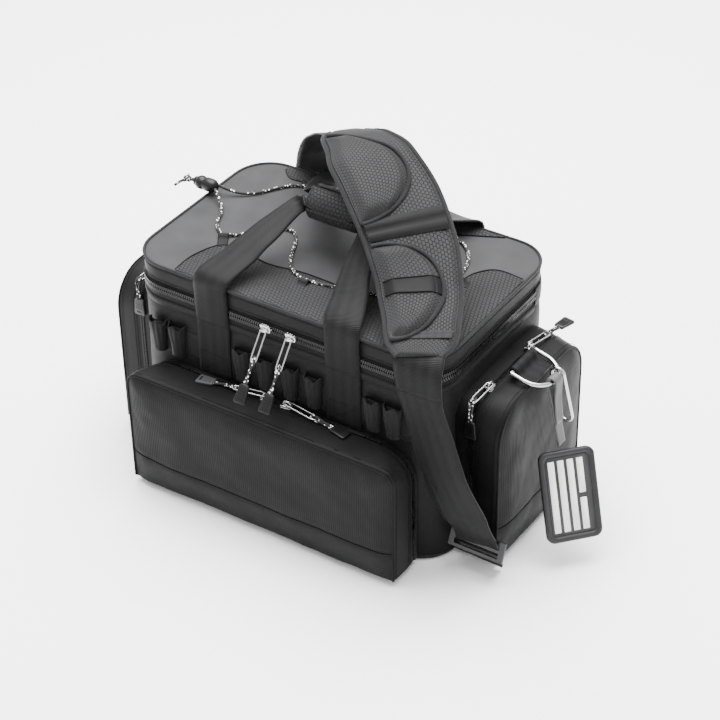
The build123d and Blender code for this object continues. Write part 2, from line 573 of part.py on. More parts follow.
def build_zip_pulls():
    """Sliders and pulls of the main zip and of the three pocket zips."""
    zip_y = FRONT_FACE - SPLIT_GAP
    for name, x in MAIN_SLIDERS:
        node(f"main_slider_{name}", Pos(x, zip_y, LID_SPLIT_Z) * Rot(90, 0, 0) * slider_block(90))
        turn = Pos(x, zip_y - LUG_HEIGHT, LID_SPLIT_Z) * Rot(0, 0, -90) * Rot(0, MAIN_PULL_ANGLE, 0)
        node(f"main_pull_{name}", *[turn * piece for piece in straight_pull(40.0, 26.0)])

    seam_y = FRONT_FACE - FRONT_RIM - SPLIT_GAP
    top = FRONT_POCKET_TOP + SPLIT_GAP
    for name, x, heading in POCKET_SLIDERS:
        node(f"front_pocket_slider_{name}", Pos(x, seam_y, top) * slider_block(0))
        turn = Pos(x, seam_y, top + LUG_HEIGHT) * Rot(0, 0, heading) * Rot(0, 2.5, 0)
        node(f"front_pocket_pull_{name}", *[turn * piece for piece in straight_pull(46.0, 24.0)])

    seam_x = HALF_WIDTH + SIDE_RIM + SPLIT_GAP
    top = SIDE_POCKET_TOP + SPLIT_GAP
    for name, side, y in (("right_front", 1, FRONT_SLIDER_Y), ("right_rear", 1, REAR_SLIDER_Y),
                          ("left_front", -1, FRONT_SLIDER_Y)):
        node(f"{name}_slider", Pos(side * seam_x, y, top) * Rot(0, 0, 90) * slider_block(0))
        place = Pos(side * seam_x, y, top + LUG_HEIGHT)
        if y == FRONT_SLIDER_Y:
            pieces = [place * Rot(0, 0, -90) * piece for piece in bent_pull()]
        else:
            pieces = [place * Rot(0, 0, 80) * Rot(0, 3, 0) * piece for piece in straight_pull(36.0, 16.0)]
        node(f"{name}_pull", *pieces)


def build_pockets():
    """Front pocket and the two side pockets."""
    front = Plane(origin=(0, FRONT_FACE, 0), x_dir=(1, 0, 0), z_dir=(0, -1, 0))
    build_pocket("front_pocket", front, FRONT_POCKET_WIDTH, FRONT_POCKET_TOP, FRONT_POCKET_DEPTH, FRONT_RIM)
    for name, side in (("right_pocket", 1), ("left_pocket", -1)):
        origin = (side * HALF_WIDTH, SIDE_POCKET_SHIFT, 0)
        plane = Plane(origin=origin, x_dir=(0, side, 0), z_dir=(side, 0, 0))
        build_pocket(name, plane, SIDE_POCKET_WIDTH, SIDE_POCKET_TOP, SIDE_POCKET_DEPTH, SIDE_RIM)


def main():
    os.makedirs("parts", exist_ok=True)
    build_body()
    build_lid()
    build_lacing()
    build_pockets()
    build_tool_loops()
    build_handles()
    build_strap()
    build_ring_and_tag()
    build_zip_pulls()


main()
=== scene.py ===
import math

import bmesh
import bpy
from mathutils import Matrix, Vector, noise


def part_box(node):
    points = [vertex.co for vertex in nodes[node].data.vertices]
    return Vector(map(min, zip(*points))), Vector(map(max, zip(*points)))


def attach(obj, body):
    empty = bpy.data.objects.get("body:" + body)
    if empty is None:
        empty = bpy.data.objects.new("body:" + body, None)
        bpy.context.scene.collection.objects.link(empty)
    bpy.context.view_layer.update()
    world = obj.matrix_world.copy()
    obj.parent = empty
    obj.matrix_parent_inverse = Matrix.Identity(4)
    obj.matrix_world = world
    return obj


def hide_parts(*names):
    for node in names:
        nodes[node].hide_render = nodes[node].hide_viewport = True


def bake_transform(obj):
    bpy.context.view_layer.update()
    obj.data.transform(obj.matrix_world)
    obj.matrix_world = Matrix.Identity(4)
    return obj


# Looks of the padded shoulder bag. Sizes and places here are in millimetres unless a name says metres.
MM = 0.001

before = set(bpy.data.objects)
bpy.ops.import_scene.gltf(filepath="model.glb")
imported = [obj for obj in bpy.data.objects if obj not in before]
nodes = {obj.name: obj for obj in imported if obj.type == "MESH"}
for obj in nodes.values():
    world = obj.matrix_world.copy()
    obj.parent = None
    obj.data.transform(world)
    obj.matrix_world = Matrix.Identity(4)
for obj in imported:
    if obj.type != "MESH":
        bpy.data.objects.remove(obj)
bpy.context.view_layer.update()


def node_span(name):
    """Lowest and highest corner of a CAD node, in millimetres."""
    low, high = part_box(name)
    return low / MM, high / MM


SKIN_HIGH = node_span("outer_skin")[1]
HALF_X = SKIN_HIGH.x
HALF_Y = SKIN_HIGH.y
CORNER = 48.0
TOP_Z = node_span("lid_skin")[1].z
BAND_LOW_Z = node_span("lid_zip_tape")[1].z
SPLIT_Z = node_span("lid_zip_tape")[0].z
TAPE_LOW_Z = node_span("body_zip_tape")[0].z
LINING_INSET = 13.7
FLOOR_Z = 13.0


def rotation(degrees, axis):
    """Rotation about one axis, in degrees."""
    return Matrix.Rotation(math.radians(degrees), 4, axis)


# ---------------------------------------------------------------- materials

def new_material(name):
    """Material with its shader, and a helper that adds nodes."""
    material = bpy.data.materials.new(name)
    material.use_nodes = True
    tree = material.node_tree
    return material, tree, tree.nodes["Principled BSDF"]


def add(tree, kind, inputs=None, **settings):
    """Node with its settings and inputs; an input is a value or another node's socket."""
    made = tree.nodes.new(kind)
    for key, value in settings.items():
        setattr(made, key, value)
    for key, value in (inputs or {}).items():
        if isinstance(value, bpy.types.NodeSocket):
            tree.links.new(value, made.inputs[key])
        else:
            made.inputs[key].default_value = value
    return made


def maths(tree, operation, first, second=0.0, third=0.0):
    """Result of one arithmetic step."""
    return add(tree, "ShaderNodeMath", {0: first, 1: second, 2: third}, operation=operation).outputs[0]


def uv_parts(tree):
    """The two coordinates of the UV map, in millimetres."""
    coordinates = add(tree, "ShaderNodeTexCoord")
    scaled = add(tree, "ShaderNodeVectorMath", {0: coordinates.outputs["UV"], 1: (1000, 1000, 1000)},
                 operation="MULTIPLY")
    parts = add(tree, "ShaderNodeSeparateXYZ", {0: scaled.outputs[0]})
    return scaled.outputs[0], parts.outputs[0], parts.outputs[1]


def waves(tree, coordinate, pitch, shift=0.0):
    """Height from 0 to 1 that repeats every pitch millimetres."""
    turned = maths(tree, "MULTIPLY_ADD", coordinate, 2 * math.pi / pitch, shift)
    return maths(tree, "MULTIPLY_ADD", maths(tree, "SINE", turned), 0.5, 0.5)


def hexagons(tree, vector, size):
    """Height that is 1 inside a honeycomb's cells and 0 on their edges."""
    step = (size, size * math.sqrt(3), 1)
    half = (size / 2, size * math.sqrt(3) / 2, 0)
    cells = []
    for shift in ((0, 0, 0), half):
        moved = add(tree, "ShaderNodeVectorMath", {0: vector, 1: shift}, operation="ADD").outputs[0]
        wrapped = add(tree, "ShaderNodeVectorMath", {0: moved, 1: (0, 0, 0), 2: step}, operation="WRAP")
        centred = add(tree, "ShaderNodeVectorMath", {0: wrapped.outputs[0], 1: half}, operation="SUBTRACT")
        apart = add(tree, "ShaderNodeVectorMath", {0: centred.outputs[0]}, operation="ABSOLUTE").outputs[0]
        parts = add(tree, "ShaderNodeSeparateXYZ", {0: apart})
        slanted = maths(tree, "MULTIPLY_ADD", parts.outputs[0], 0.5,
                        maths(tree, "MULTIPLY", parts.outputs[1], math.sqrt(3) / 2))
        cells.append(maths(tree, "MAXIMUM", parts.outputs[0], slanted))
    nearest = maths(tree, "MINIMUM", cells[0], cells[1])
    edge = add(tree, "ShaderNodeMapRange", {0: nearest, 1: size * 0.5, 2: size * 0.36, 3: 0.0, 4: 1.0},
               interpolation_type="SMOOTHSTEP")
    return edge.outputs[0]


def weave(tree, u, v, pitch):
    """Plain weave: threads over and under in turn."""
    return maths(tree, "MULTIPLY", waves(tree, u, pitch), waves(tree, v, pitch, 1.0))


def cloth_height(tree, pattern, pitch):
    """Bump height of one of the bag's cloths."""
    vector, u, v = uv_parts(tree)
    if pattern == "hexagons":
        fine = weave(tree, u, v, 0.7)
        return maths(tree, "MULTIPLY_ADD", fine, 0.12, hexagons(tree, vector, pitch))
    if pattern == "webbing":
        ribs = waves(tree, u, pitch)
        lanes = waves(tree, v, pitch * 9)
        return maths(tree, "MULTIPLY_ADD", lanes, 0.5, ribs)
    if pattern == "ripstop":
        ribs = waves(tree, v, pitch)
        cross = waves(tree, u, pitch * 2.3)
        return maths(tree, "MULTIPLY_ADD", cross, 0.12, ribs)
    if pattern == "ribs":
        return waves(tree, u, pitch)
    return weave(tree, u, v, pitch)


def cloth(name, colour, roughness, pattern, pitch, depth, raised_highlight_colour=None, sheen=0.02):
    """Woven cloth: pattern in the bump, uneven dye, and raised threads coloured lighter, a painted highlight
    on the pattern's raised parts with painted shade in its hollows.
    """
    material, tree, shader = new_material(name)
    height = cloth_height(tree, pattern, pitch)
    place = add(tree, "ShaderNodeTexCoord")
    blotches = add(tree, "ShaderNodeTexNoise", {"Vector": place.outputs["Object"], "Scale": 22.0,
                                                "Detail": 5.0})
    # Raised threads and cells blend towards the lighter colour: painted highlight on the raised parts of the
    # weave, painted shade in its hollows.
    light = raised_highlight_colour or tuple(min(1.0, part * 1.7) for part in colour)
    mixed = add(tree, "ShaderNodeMix", {"Factor": maths(tree, "MULTIPLY", height, 0.8), 6: (*colour, 1),
                                        7: (*light, 1)}, data_type="RGBA")
    tint = add(tree, "ShaderNodeMapRange", {0: blotches.outputs[0], 1: 0.3, 2: 0.7, 3: 0.82, 4: 1.18})
    shaded = add(tree, "ShaderNodeVectorMath", {0: mixed.outputs[2], "Scale": tint.outputs[0]},
                 operation="SCALE")
    tree.links.new(shaded.outputs[0], shader.inputs["Base Color"])
    rough = add(tree, "ShaderNodeMapRange", {0: blotches.outputs[0], 1: 0.3, 2: 0.7, 3: roughness - 0.06,
                                             4: roughness + 0.06})
    tree.links.new(rough.outputs[0], shader.inputs["Roughness"])
    shader.inputs["Sheen Weight"].default_value = sheen
    shader.inputs["Sheen Roughness"].default_value = 0.5
    shader.inputs["Specular IOR Level"].default_value = 0.07
    bump = add(tree, "ShaderNodeBump", {"Height": height, "Distance": depth * MM, "Strength": 0.9})
    tree.links.new(bump.outputs[0], shader.inputs["Normal"])
    return material


def plastic(name, colour, roughness, grain):
    """Moulded plastic, silicone or rubber with a fine grain."""
    material, tree, shader = new_material(name)
    place = add(tree, "ShaderNodeTexCoord")
    fine = add(tree, "ShaderNodeTexNoise", {"Vector": place.outputs["Object"], "Scale": 900.0,
                                            "Detail": 3.0})
    broad = add(tree, "ShaderNodeTexNoise", {"Vector": place.outputs["Object"], "Scale": 60.0,
                                             "Detail": 4.0})
    tint = add(tree, "ShaderNodeMix", {"Factor": broad.outputs[0], 6: (*[part * 0.8 for part in colour], 1),
                                       7: (*[part * 1.25 for part in colour], 1)}, data_type="RGBA")
    tree.links.new(tint.outputs[2], shader.inputs["Base Color"])
    rough = add(tree, "ShaderNodeMapRange", {0: broad.outputs[0], 1: 0.3, 2: 0.7, 3: roughness - 0.07,
                                             4: roughness + 0.07})
    tree.links.new(rough.outputs[0], shader.inputs["Roughness"])
    shader.inputs["Specular IOR Level"].default_value = 0.18
    bump = add(tree, "ShaderNodeBump", {"Height": fine.outputs[0], "Distance": grain * MM, "Strength": 0.5})
    tree.links.new(bump.outputs[0], shader.inputs["Normal"])
    return material


def metal(name, colour, roughness):
    """Polished metal with faint handling marks in its roughness and painted dark reflections darkening its
    colour.
    """
    material, tree, shader = new_material(name)
    place = add(tree, "ShaderNodeTexCoord")
    handling_marks_and_dark_reflections = add(tree, "ShaderNodeTexNoise", {"Vector": place.outputs["Object"], "Scale": 350.0,
                                             "Detail": 6.0})
    rough = add(tree, "ShaderNodeMapRange", {0: handling_marks_and_dark_reflections.outputs[0], 1: 0.35, 2: 0.75, 3: roughness,
                                             4: roughness + 0.16})
    # Noise darkens the colour in patches: painted dark reflections.
    tint = add(tree, "ShaderNodeMix", {"Factor": handling_marks_and_dark_reflections.outputs[0], 6: (*colour, 1),
                                       7: (*[part * 0.8 for part in colour], 1)}, data_type="RGBA")
    tree.links.new(tint.outputs[2], shader.inputs["Base Color"])
    tree.links.new(rough.outputs[0], shader.inputs["Roughness"])
    shader.inputs["Metallic"].default_value = 1.0
    return material


def flecked_cord(name):
    """Braided black cord with pale flecks."""
    material, tree, shader = new_material(name)
    place = add(tree, "ShaderNodeTexCoord")
    cells = add(tree, "ShaderNodeTexVoronoi", {"Vector": place.outputs["Object"], "Scale": 330.0})
    strands = add(tree, "ShaderNodeTexNoise", {"Vector": place.outputs["Object"], "Scale": 1400.0})
    fleck = maths(tree, "LESS_THAN", cells.outputs["Distance"], 0.36)
    chosen = add(tree, "ShaderNodeSeparateColor", {0: cells.outputs["Color"]})
    fleck = maths(tree, "MULTIPLY", fleck, maths(tree, "GREATER_THAN", chosen.outputs[0], 0.38))
    tint = add(tree, "ShaderNodeMix", {"Factor": fleck, 6: (0.004, 0.004, 0.004, 1),
                                       7: (0.75, 0.75, 0.73, 1)},
               data_type="RGBA")
    tree.links.new(tint.outputs[2], shader.inputs["Base Color"])
    shader.inputs["Roughness"].default_value = 0.75
    bump = add(tree, "ShaderNodeBump", {"Height": strands.outputs[0], "Distance": 0.0004, "Strength": 0.8})
    tree.links.new(bump.outputs[0], shader.inputs["Normal"])
    return material


# Lid-top cloth: the walls' coated fabric in a lighter colour, as painted light falling from above.
# The last colour given to a cloth is the painted highlight on its raised threads or cells.
LIT_TOP_CLOTH = cloth("coated_cloth_lit_top", (0.030, 0.030, 0.031), 0.55, "weave", 0.9, 0.05, (0.036, 0.036, 0.037))
SMOOTH = cloth("smooth_cloth", (0.0045, 0.0045, 0.0048), 0.50, "weave", 1.0, 0.10)
RIPSTOP = cloth("ripstop_cloth", (0.0035, 0.0035, 0.0037), 0.55, "ripstop", 3.0, 0.22,
                (0.0062, 0.0062, 0.0064))
HEX = cloth("hexagon_cloth", (0.004, 0.004, 0.004), 0.52, "hexagons", 5.2, 0.7, (0.024, 0.024, 0.025))
PAD_HEX = cloth("pad_cloth", (0.008, 0.008, 0.008), 0.52, "hexagons", 4.7, 0.7, (0.026, 0.026, 0.027))
WEBBING = cloth("webbing", (0.0025, 0.0025, 0.0028), 0.42, "webbing", 1.6, 0.24, (0.009, 0.009, 0.0095))
BINDING = cloth("edge_binding", (0.009, 0.009, 0.0095), 0.5, "webbing", 1.0, 0.14, (0.020, 0.020, 0.021))
PIPING = cloth("piping_cloth", (0.002, 0.002, 0.002), 0.55, "weave", 0.8, 0.10)
TAPE = cloth("zip_tape", (0.003, 0.003, 0.003), 0.6, "weave", 0.9, 0.12)
ELASTIC = cloth("elastic", (0.005, 0.005, 0.005), 0.5, "ribs", 1.4, 0.28, (0.014, 0.014, 0.0145))
LINING = cloth("lining", (0.07, 0.07, 0.073), 0.8, "weave", 0.8, 0.10, sheen=0.2)
RUBBER = plastic("base_rubber", (0.005, 0.005, 0.005), 0.5, 0.10)
MOULDED = plastic("moulded_plastic", (0.006, 0.006, 0.0063), 0.36, 0.03)
TEETH = plastic("zip_teeth", (0.006, 0.006, 0.0063), 0.28, 0.02)
PALE_TAB = plastic("pale_plastic", (0.04, 0.04, 0.042), 0.5, 0.03)
SILICONE = plastic("silicone", (0.020, 0.020, 0.021), 0.40, 0.02)
PALE_SILICONE = plastic("strap_silicone", (0.07, 0.07, 0.072), 0.45, 0.02)
DARK_CARD = plastic("card_dark", (0.030, 0.030, 0.031), 0.35, 0.01)
PAPER = plastic("card_fields", (0.72, 0.72, 0.71), 0.6, 0.01)
THREAD = plastic("thread", (0.0015, 0.0015, 0.0015), 0.6, 0.05)
CHROME = metal("bright_metal", (0.50, 0.50, 0.51), 0.14)
GREY_METAL = metal("buckle_metal", (0.06, 0.06, 0.062), 0.35)
CORD = flecked_cord("flecked_cord")


# ---------------------------------------------------------------- mesh helpers

def ease(value):
    """Smooth step from 0 to 1."""
    value = min(1.0, max(0.0, value))
    return value * value * (3 - 2 * value)


def wobble(point, size, amount, seed=0.0):
    """Soft unevenness that changes over size millimetres."""
    return amount * noise.noise(Vector(point) / size + Vector((seed, seed * 0.7, 3.1)))


def smooth_line(points, step, closed=False):
    """Even points along a curve through the given ones."""
    knots = [Vector(point) for point in points]
    count = len(knots)
    dense = []
    for index in range(count if closed else count - 1):
        ring = [knots[(index + shift) % count] if closed else knots[min(max(index + shift, 0), count - 1)]
                for shift in (-1, 0, 1, 2)]
        pieces = max(2, int((ring[2] - ring[1]).length / step * 2))
        for piece in range(pieces):
            t = piece / pieces
            dense.append(0.5 * (2 * ring[1] + (ring[2] - ring[0]) * t
                                + (2 * ring[0] - 5 * ring[1] + 4 * ring[2] - ring[3]) * t ** 2
                                + (3 * ring[1] - ring[0] - 3 * ring[2] + ring[3]) * t ** 3))
    dense.append(knots[0] if closed else knots[-1])
    total = sum((after - before).length for before, after in zip(dense, dense[1:]))
    return even(dense, max(2, round(total / step)))


def even(points, count):
    """Points at even distances along straight runs, count gaps in all."""
    lengths = [0.0]
    for before, after in zip(points, points[1:]):
        lengths.append(lengths[-1] + (after - before).length)
    spaced = []
    run = 0
    for index in range(count + 1):
        want = lengths[-1] * index / count
        while run < len(points) - 2 and lengths[run + 1] < want:
            run += 1
        share = (want - lengths[run]) / max(lengths[run + 1] - lengths[run], 1e-9)
        spaced.append(points[run].lerp(points[run + 1], min(1.0, share)))
    return spaced


def make_mesh(name, points, faces, material, smooth=True):
    """Object from points in millimetres."""
    mesh = bpy.data.meshes.new(name)
    mesh.from_pydata([Vector(point) * MM for point in points], [], faces)
    mesh.materials.append(material)
    made = bpy.data.objects.new(name, mesh)
    bpy.context.scene.collection.objects.link(made)
    for polygon in mesh.polygons:
        polygon.use_smooth = smooth
    return made


def grid(name, rows, material, closed=False, caps=(), thickness=0.0, flat_uv=None):
    """Surface through rows of points, with a UV map that runs along and across them in metres."""
    columns = len(rows[0])
    spans = columns if closed else columns - 1
    points = [point for row in rows for point in row]
    faces = []
    for row in range(len(rows) - 1):
        for column in range(spans):
            after = (column + 1) % columns
            faces.append((row * columns + column, row * columns + after,
                          (row + 1) * columns + after, (row + 1) * columns + column))
    for cap in caps:
        start = (len(rows) - 1) * columns if cap else 0
        faces.append(tuple(range(start, start + columns)))
    made = make_mesh(name, points, faces, material)
    middle_row = [Vector(point) for point in rows[len(rows) // 2]]
    middle_row.append(middle_row[0])
    across = [0.0]
    for before, after in zip(middle_row, middle_row[1:]):
        across.append(across[-1] + (after - before).length)
    middle = columns // 2
    along = [0.0]
    for before, after in zip(rows, rows[1:]):
        along.append(along[-1] + (Vector(after[middle]) - Vector(before[middle])).length)
    layer = made.data.uv_layers.new(name="UVMap")
    for polygon in made.data.polygons:
        indices = [made.data.loops[loop].vertex_index for loop in polygon.loop_indices]
        wraps = closed and {index % columns for index in indices} >= {0, columns - 1} and columns > 2
        for loop, index in zip(polygon.loop_indices, indices):
            column = index % columns
            place = across[columns] if wraps and column == 0 else across[column]
            here = (along[index // columns], place)
            if flat_uv:
                here = flat_uv(made.data.vertices[index].co / MM)
            layer.data[loop].uv = (here[0] * MM, here[1] * MM)
    face_outward(made)
    if thickness:
        thicken(made, thickness)
    return made


def face_outward(made):
    """Turn every face to the outside."""
    shape = bmesh.new()
    shape.from_mesh(made.data)
    bmesh.ops.recalc_face_normals(shape, faces=shape.faces)
    shape.to_mesh(made.data)
    shape.free()


def thicken(made, thickness, bevel=0.0):
    """Give a sheet its thickness."""
    solid = made.modifiers.new("thickness", "SOLIDIFY")
    solid.thickness = thickness * MM
    solid.offset = 0
    if bevel:
        edge = made.modifiers.new("edge", "BEVEL")
        edge.width = bevel * MM
        edge.segments = 2
        edge.limit_method = "ANGLE"


def band(name, stations, thickness, material, step=6.0, columns=10, arch=0.0, ripple=0.0):
    """Webbing along (centre, across, width) stations."""
    return grid(name, band_rows(stations, step, columns, arch, ripple), material, thickness=thickness)


def band_rows(stations, step=6.0, columns=10, arch=0.0, ripple=0.0, lift=0.0):
    """Rows of a band's points; arch raises its middle, ripple roughens it, lift moves it off its face."""
    rows = []
    for centre, across, normal, width in band_frames(stations, step):
        row = []
        for column in range(columns + 1):
            side = column / columns * 2 - 1
            point = centre + across * (side * width / 2)
            rise = lift + arch * (1 - side * side)
            row.append(point + normal * (rise + wobble(point, 28, ripple)))
        rows.append(row)
    return rows


def band_frames(stations, step=6.0):
    """Centre, across direction, face normal and width at even steps along a band."""
    centres = [Vector(station[0]) for station in stations]
    reach = [0.0]
    for before, after in zip(centres, centres[1:]):
        reach.append(reach[-1] + (after - before).length)
    line = smooth_line(centres, step)
    frames = []
    gone = 0.0
    scale = reach[-1] / sum((after - before).length for before, after in zip(line, line[1:]))
    for index, centre in enumerate(line):
        if index:
            gone += (centre - line[index - 1]).length * scale
        run = max(k for k in range(len(reach) - 1) if reach[k] <= gone + 1e-6)
        length = reach[run + 1] - reach[run]
        share = ease((gone - reach[run]) / length) if length > 0 else 0
        across = Vector(stations[run][1]).lerp(Vector(stations[run + 1][1]), share)
        width = stations[run][2] + (stations[run + 1][2] - stations[run][2]) * share
        tangent = (line[min(index + 1, len(line) - 1)] - line[max(index - 1, 0)]).normalized()
        across = (across - tangent * across.dot(tangent)).normalized()
        frames.append((centre, across, tangent.cross(across).normalized(), width))
    return frames


def tube(name, points, radius, material, closed=False, smooth=True):
    """Round bar, piping or wire along points in millimetres."""
    curve = bpy.data.curves.new(name, "CURVE")
    curve.dimensions = "3D"
    curve.bevel_depth = radius * MM
    curve.bevel_resolution = 3
    curve.use_fill_caps = True
    spline = curve.splines.new("NURBS" if smooth else "POLY")
    spline.points.add(len(points) - 1)
    for place, point in zip(spline.points, points):
        place.co = (*(Vector(point) * MM), 1)
    spline.use_cyclic_u = closed
    if smooth:
        spline.order_u = 3
        spline.use_endpoint_u = not closed
    curve.materials.append(material)
    made = bpy.data.objects.new(name, curve)
    bpy.context.scene.collection.objects.link(made)
    return made


def boxes(name, places, size, material):
    """Many small equal blocks, each at its matrix in millimetres."""
    corners = [Vector((x * size[0] / 2, y * size[1] / 2, z * size[2] / 2))
               for x in (-1, 1) for y in (-1, 1) for z in (-1, 1)]
    sides = ((0, 1, 3, 2), (4, 6, 7, 5), (0, 4, 5, 1), (2, 3, 7, 6), (0, 2, 6, 4), (1, 5, 7, 3))
    points = []
    faces = []
    for place in places:
        first = len(points)
        points.extend(place @ corner for corner in corners)
        faces.extend(tuple(first + index for index in side) for side in sides)
    return make_mesh(name, points, faces, material, smooth=False)


def along_places(line, pitch, normal_of, slant=0.0):
    """Matrices along a line: X along it, Z on the surface's normal."""
    total = sum((after - before).length for before, after in zip(line, line[1:]))
    spots = even(line, max(2, round(total / pitch)))
    places = []
    for before, after in zip(spots, spots[1:]):
        middle = (before + after) / 2
        ahead = (after - before).normalized()
        normal = Vector(normal_of(middle))
        normal = (normal - ahead * normal.dot(ahead)).normalized()
        side = normal.cross(ahead)
        turned = Matrix((ahead, side, normal)).transposed().to_4x4()
        places.append(Matrix.Translation(middle) @ turned @ Matrix.Rotation(slant, 4, "Z"))
    return places


def stitches(name, lines, normal_of, pitch=3.4, thread=None):
    """Sewn lines: one short raised dash per stitch."""
    places = []
    for line in lines:
        places.extend(along_places(line, pitch, normal_of))
    return boxes(name, places, (pitch * 0.62, 0.8, 0.5), thread or THREAD)


def turned(name, place, profile, material, segments=32):
    """Round piece from (radius, along) pairs about the place's Z axis."""
    rows = []
    for radius, along in profile:
        rows.append([place @ Vector((radius * math.cos(2 * math.pi * k / segments),
                                     radius * math.sin(2 * math.pi * k / segments), along))
                     for k in range(segments)])
    return grid(name, rows, material, closed=True)


def settle(made, body, slot, *replaced):
    """Ride on a body and stand for CAD nodes; the slot argument is not used."""
    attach(made, body)
    if replaced:
        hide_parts(*replaced)
    return made


# ---------------------------------------------------------------- outlines

def body_outline(inset, count=240):
    """Points round the bag's plan, drawn in by inset, starting at the middle of the rear."""
    half_x = HALF_X - inset
    half_y = HALF_Y - inset
    radius = max(CORNER - inset, 1.0)
    points = [Vector((0, half_y, 0))]
    for side_x, side_y, start in ((-1, 1, 90), (-1, -1, 180), (1, -1, 270), (1, 1, 0)):
        for step in range(13):
            angle = math.radians(start + 90 * step / 12)
            points.append(Vector((side_x * (half_x - radius) + radius * math.cos(angle),
                                  side_y * (half_y - radius) + radius * math.sin(angle), 0)))
    points.append(points[0].copy())
    return even(points, count)[:-1]


def at_height(points, z):
    return [Vector((point.x, point.y, z)) for point in points]


def out_of_body(point):
    """Outward direction of the bag's wall near a point."""
    inner = Vector((max(-HALF_X + CORNER, min(HALF_X - CORNER, point.x)),
                    max(-HALF_Y + CORNER, min(HALF_Y - CORNER, point.y)), point.z))
    away = Vector(point) - inner
    return away.normalized() if away.length > 1e-6 else Vector((0, 0, 1))


def stack(levels, count=240, uneven=0.0):
    """Rows of the bag's plan at (inset, height) levels."""
    rows = []
    for inset, z in levels:
        row = at_height(body_outline(inset, count), z)
        rows.append([point + out_of_body(point) * wobble(point, 45, uneven) for point in row])
    return rows


def zip_line(inset, z):
    """The main zip's line: front and both sides."""
    limit = HALF_Y - CORNER
    ring = body_outline(inset, 480)
    first = next(k for k, point in enumerate(ring) if point.x < 0 and point.y < limit)
    kept = [point for point in ring[first:] if point.y < limit]
    return at_height(even(kept, 300), z)


# ---------------------------------------------------------------- body and lid

def build_body():
    """Base, outer cloth with the walls' padded rim, lining and dividers."""
    base = grid("base_edge", stack([(40, 0.2), (9, 0), (2.5, 0.5), (0.4, 2), (-0.4, 4), (0, 6.4), (2, 7)]),
                RUBBER, closed=True, caps=(0,))
    settle(base, "bag_body", "base_rubber", "base_skin", "base_board")
    levels = [(0.6, 6), (0, 12)]
    levels += [(-0.4 - 1.2 * math.sin(math.pi * k / 12), 12 + (TAPE_LOW_Z - 14) * k / 12)
               for k in range(1, 12)]
    levels += [(0.2, TAPE_LOW_Z - 1), (1.2, TAPE_LOW_Z), (7, TAPE_LOW_Z + 0.4), (LINING_INSET, TAPE_LOW_Z)]
    outer = grid("outer_cloth", stack(levels, uneven=1.3), SMOOTH, closed=True)
    settle(outer, "bag_body", "coated_fabric", "outer_skin", "front_wall_foam", "rear_wall_foam",
           "side_wall_foam")
    levels = [(LINING_INSET + 0.2, TAPE_LOW_Z - 0.2), (LINING_INSET, TAPE_LOW_Z - 14), (LINING_INSET, 26),
              (LINING_INSET + 2, FLOOR_Z + 1), (24, FLOOR_Z), (60, FLOOR_Z), (120, FLOOR_Z)]
    lining = grid("lining", stack(levels, uneven=0.3), LINING, closed=True, caps=(1,))
    settle(lining, "bag_body", "lining", "inner_liner")
    for side in ("left", "right"):
        build_divider(side)


def build_divider(side):
    """Padded panel with two sewn channels."""
    low, high = node_span(f"{side}_divider")
    middle_x = (low.x + high.x) / 2
    half = (high.x - low.x) / 2
    rows = []
    for row in range(25):
        y = low.y + (high.y - low.y) * row / 24
        ring = []
        for index in range(40):
            angle = 2 * math.pi * index / 40
            z_share = math.copysign(abs(math.cos(angle)) ** 0.35, math.cos(angle))
            x_share = math.copysign(abs(math.sin(angle)) ** 0.5, math.sin(angle))
            z = (low.z + high.z) / 2 + z_share * (high.z - low.z) / 2
            channel = 1 - 0.35 * max(math.exp(-((z - level) / 5) ** 2) for level in (88.0, 158.0))
            end = min(1.0, 0.35 + min(row, 24 - row) / 3)
            ring.append((middle_x + x_share * half * channel * end, y, z))
        rows.append(ring)
    panel = grid(f"divider_{side}_panel", rows, LINING, closed=True, caps=(0, 1))
    settle(panel, f"divider_{side}", "lining", f"{side}_divider")


WEAVE_COS = 0.94
WEAVE_SIN = 0.34


def lid_uv(point):
    """Cloth coordinates on the lid, with the weave turned about 20 degrees from its edges."""
    return point.y * WEAVE_COS - point.x * WEAVE_SIN, point.x * WEAVE_COS + point.y * WEAVE_SIN


def build_lid():
    """Lid band, top, lining, edge piping, textured panels and the rear cloth hinge."""
    levels = [(12.5, BAND_LOW_Z + 9), (12.5, BAND_LOW_Z + 0.5), (2, BAND_LOW_Z), (0.3, BAND_LOW_Z + 0.8),
              (-0.2, BAND_LOW_Z + 6), (-0.2, TOP_Z - 6), (0.3, TOP_Z - 1)]
    lid_band = grid("lid_band", stack(levels, uneven=0.5), SMOOTH, closed=True)
    settle(lid_band, "lid", "coated_fabric", "lid_skin")
    insets = [0.2, 1.5, 4, 9, 16, 26, 38, 52, 68, 86, 104, 122, 136]
    rows = []
    for inset in insets:
        ring = body_outline(inset)
        rows.append([Vector((point.x, point.y, TOP_Z - 0.5 + 0.5 * ease(inset / 6)
                             + wobble(point, 70, 0.5)))
                     for point in ring])
    # The lid top takes the lighter copy of the coated fabric: painted light from above.
    top = grid("lid_top", rows, LIT_TOP_CLOTH, closed=True, caps=(1,), flat_uv=lid_uv)
    settle(top, "lid", "coated_fabric", "lid_foam")
    inside = grid("lid_lining", stack([(12.6, BAND_LOW_Z + 8), (14, BAND_LOW_Z + 10), (40, BAND_LOW_Z + 11),
                                       (80, BAND_LOW_Z + 11.4), (130, BAND_LOW_Z + 11.4)]),
                  LINING, closed=True, caps=(1,), flat_uv=lid_uv)
    settle(inside, "lid", "lining")
    edge = tube("lid_piping_edge", at_height(body_outline(-0.4, 120), TOP_Z - 0.2), 2.0, BINDING,
                closed=True)
    settle(edge, "lid", "piping", "lid_piping")
    sewn = [at_height(body_outline(-0.6), TOP_Z - 6.5), at_height(body_outline(-0.6), BAND_LOW_Z + 5)]
    seam = stitches("lid_band_stitches", sewn, out_of_body)
    settle(seam, "lid", "coated_fabric")
    build_hinge_cloth()
    build_lid_panels()


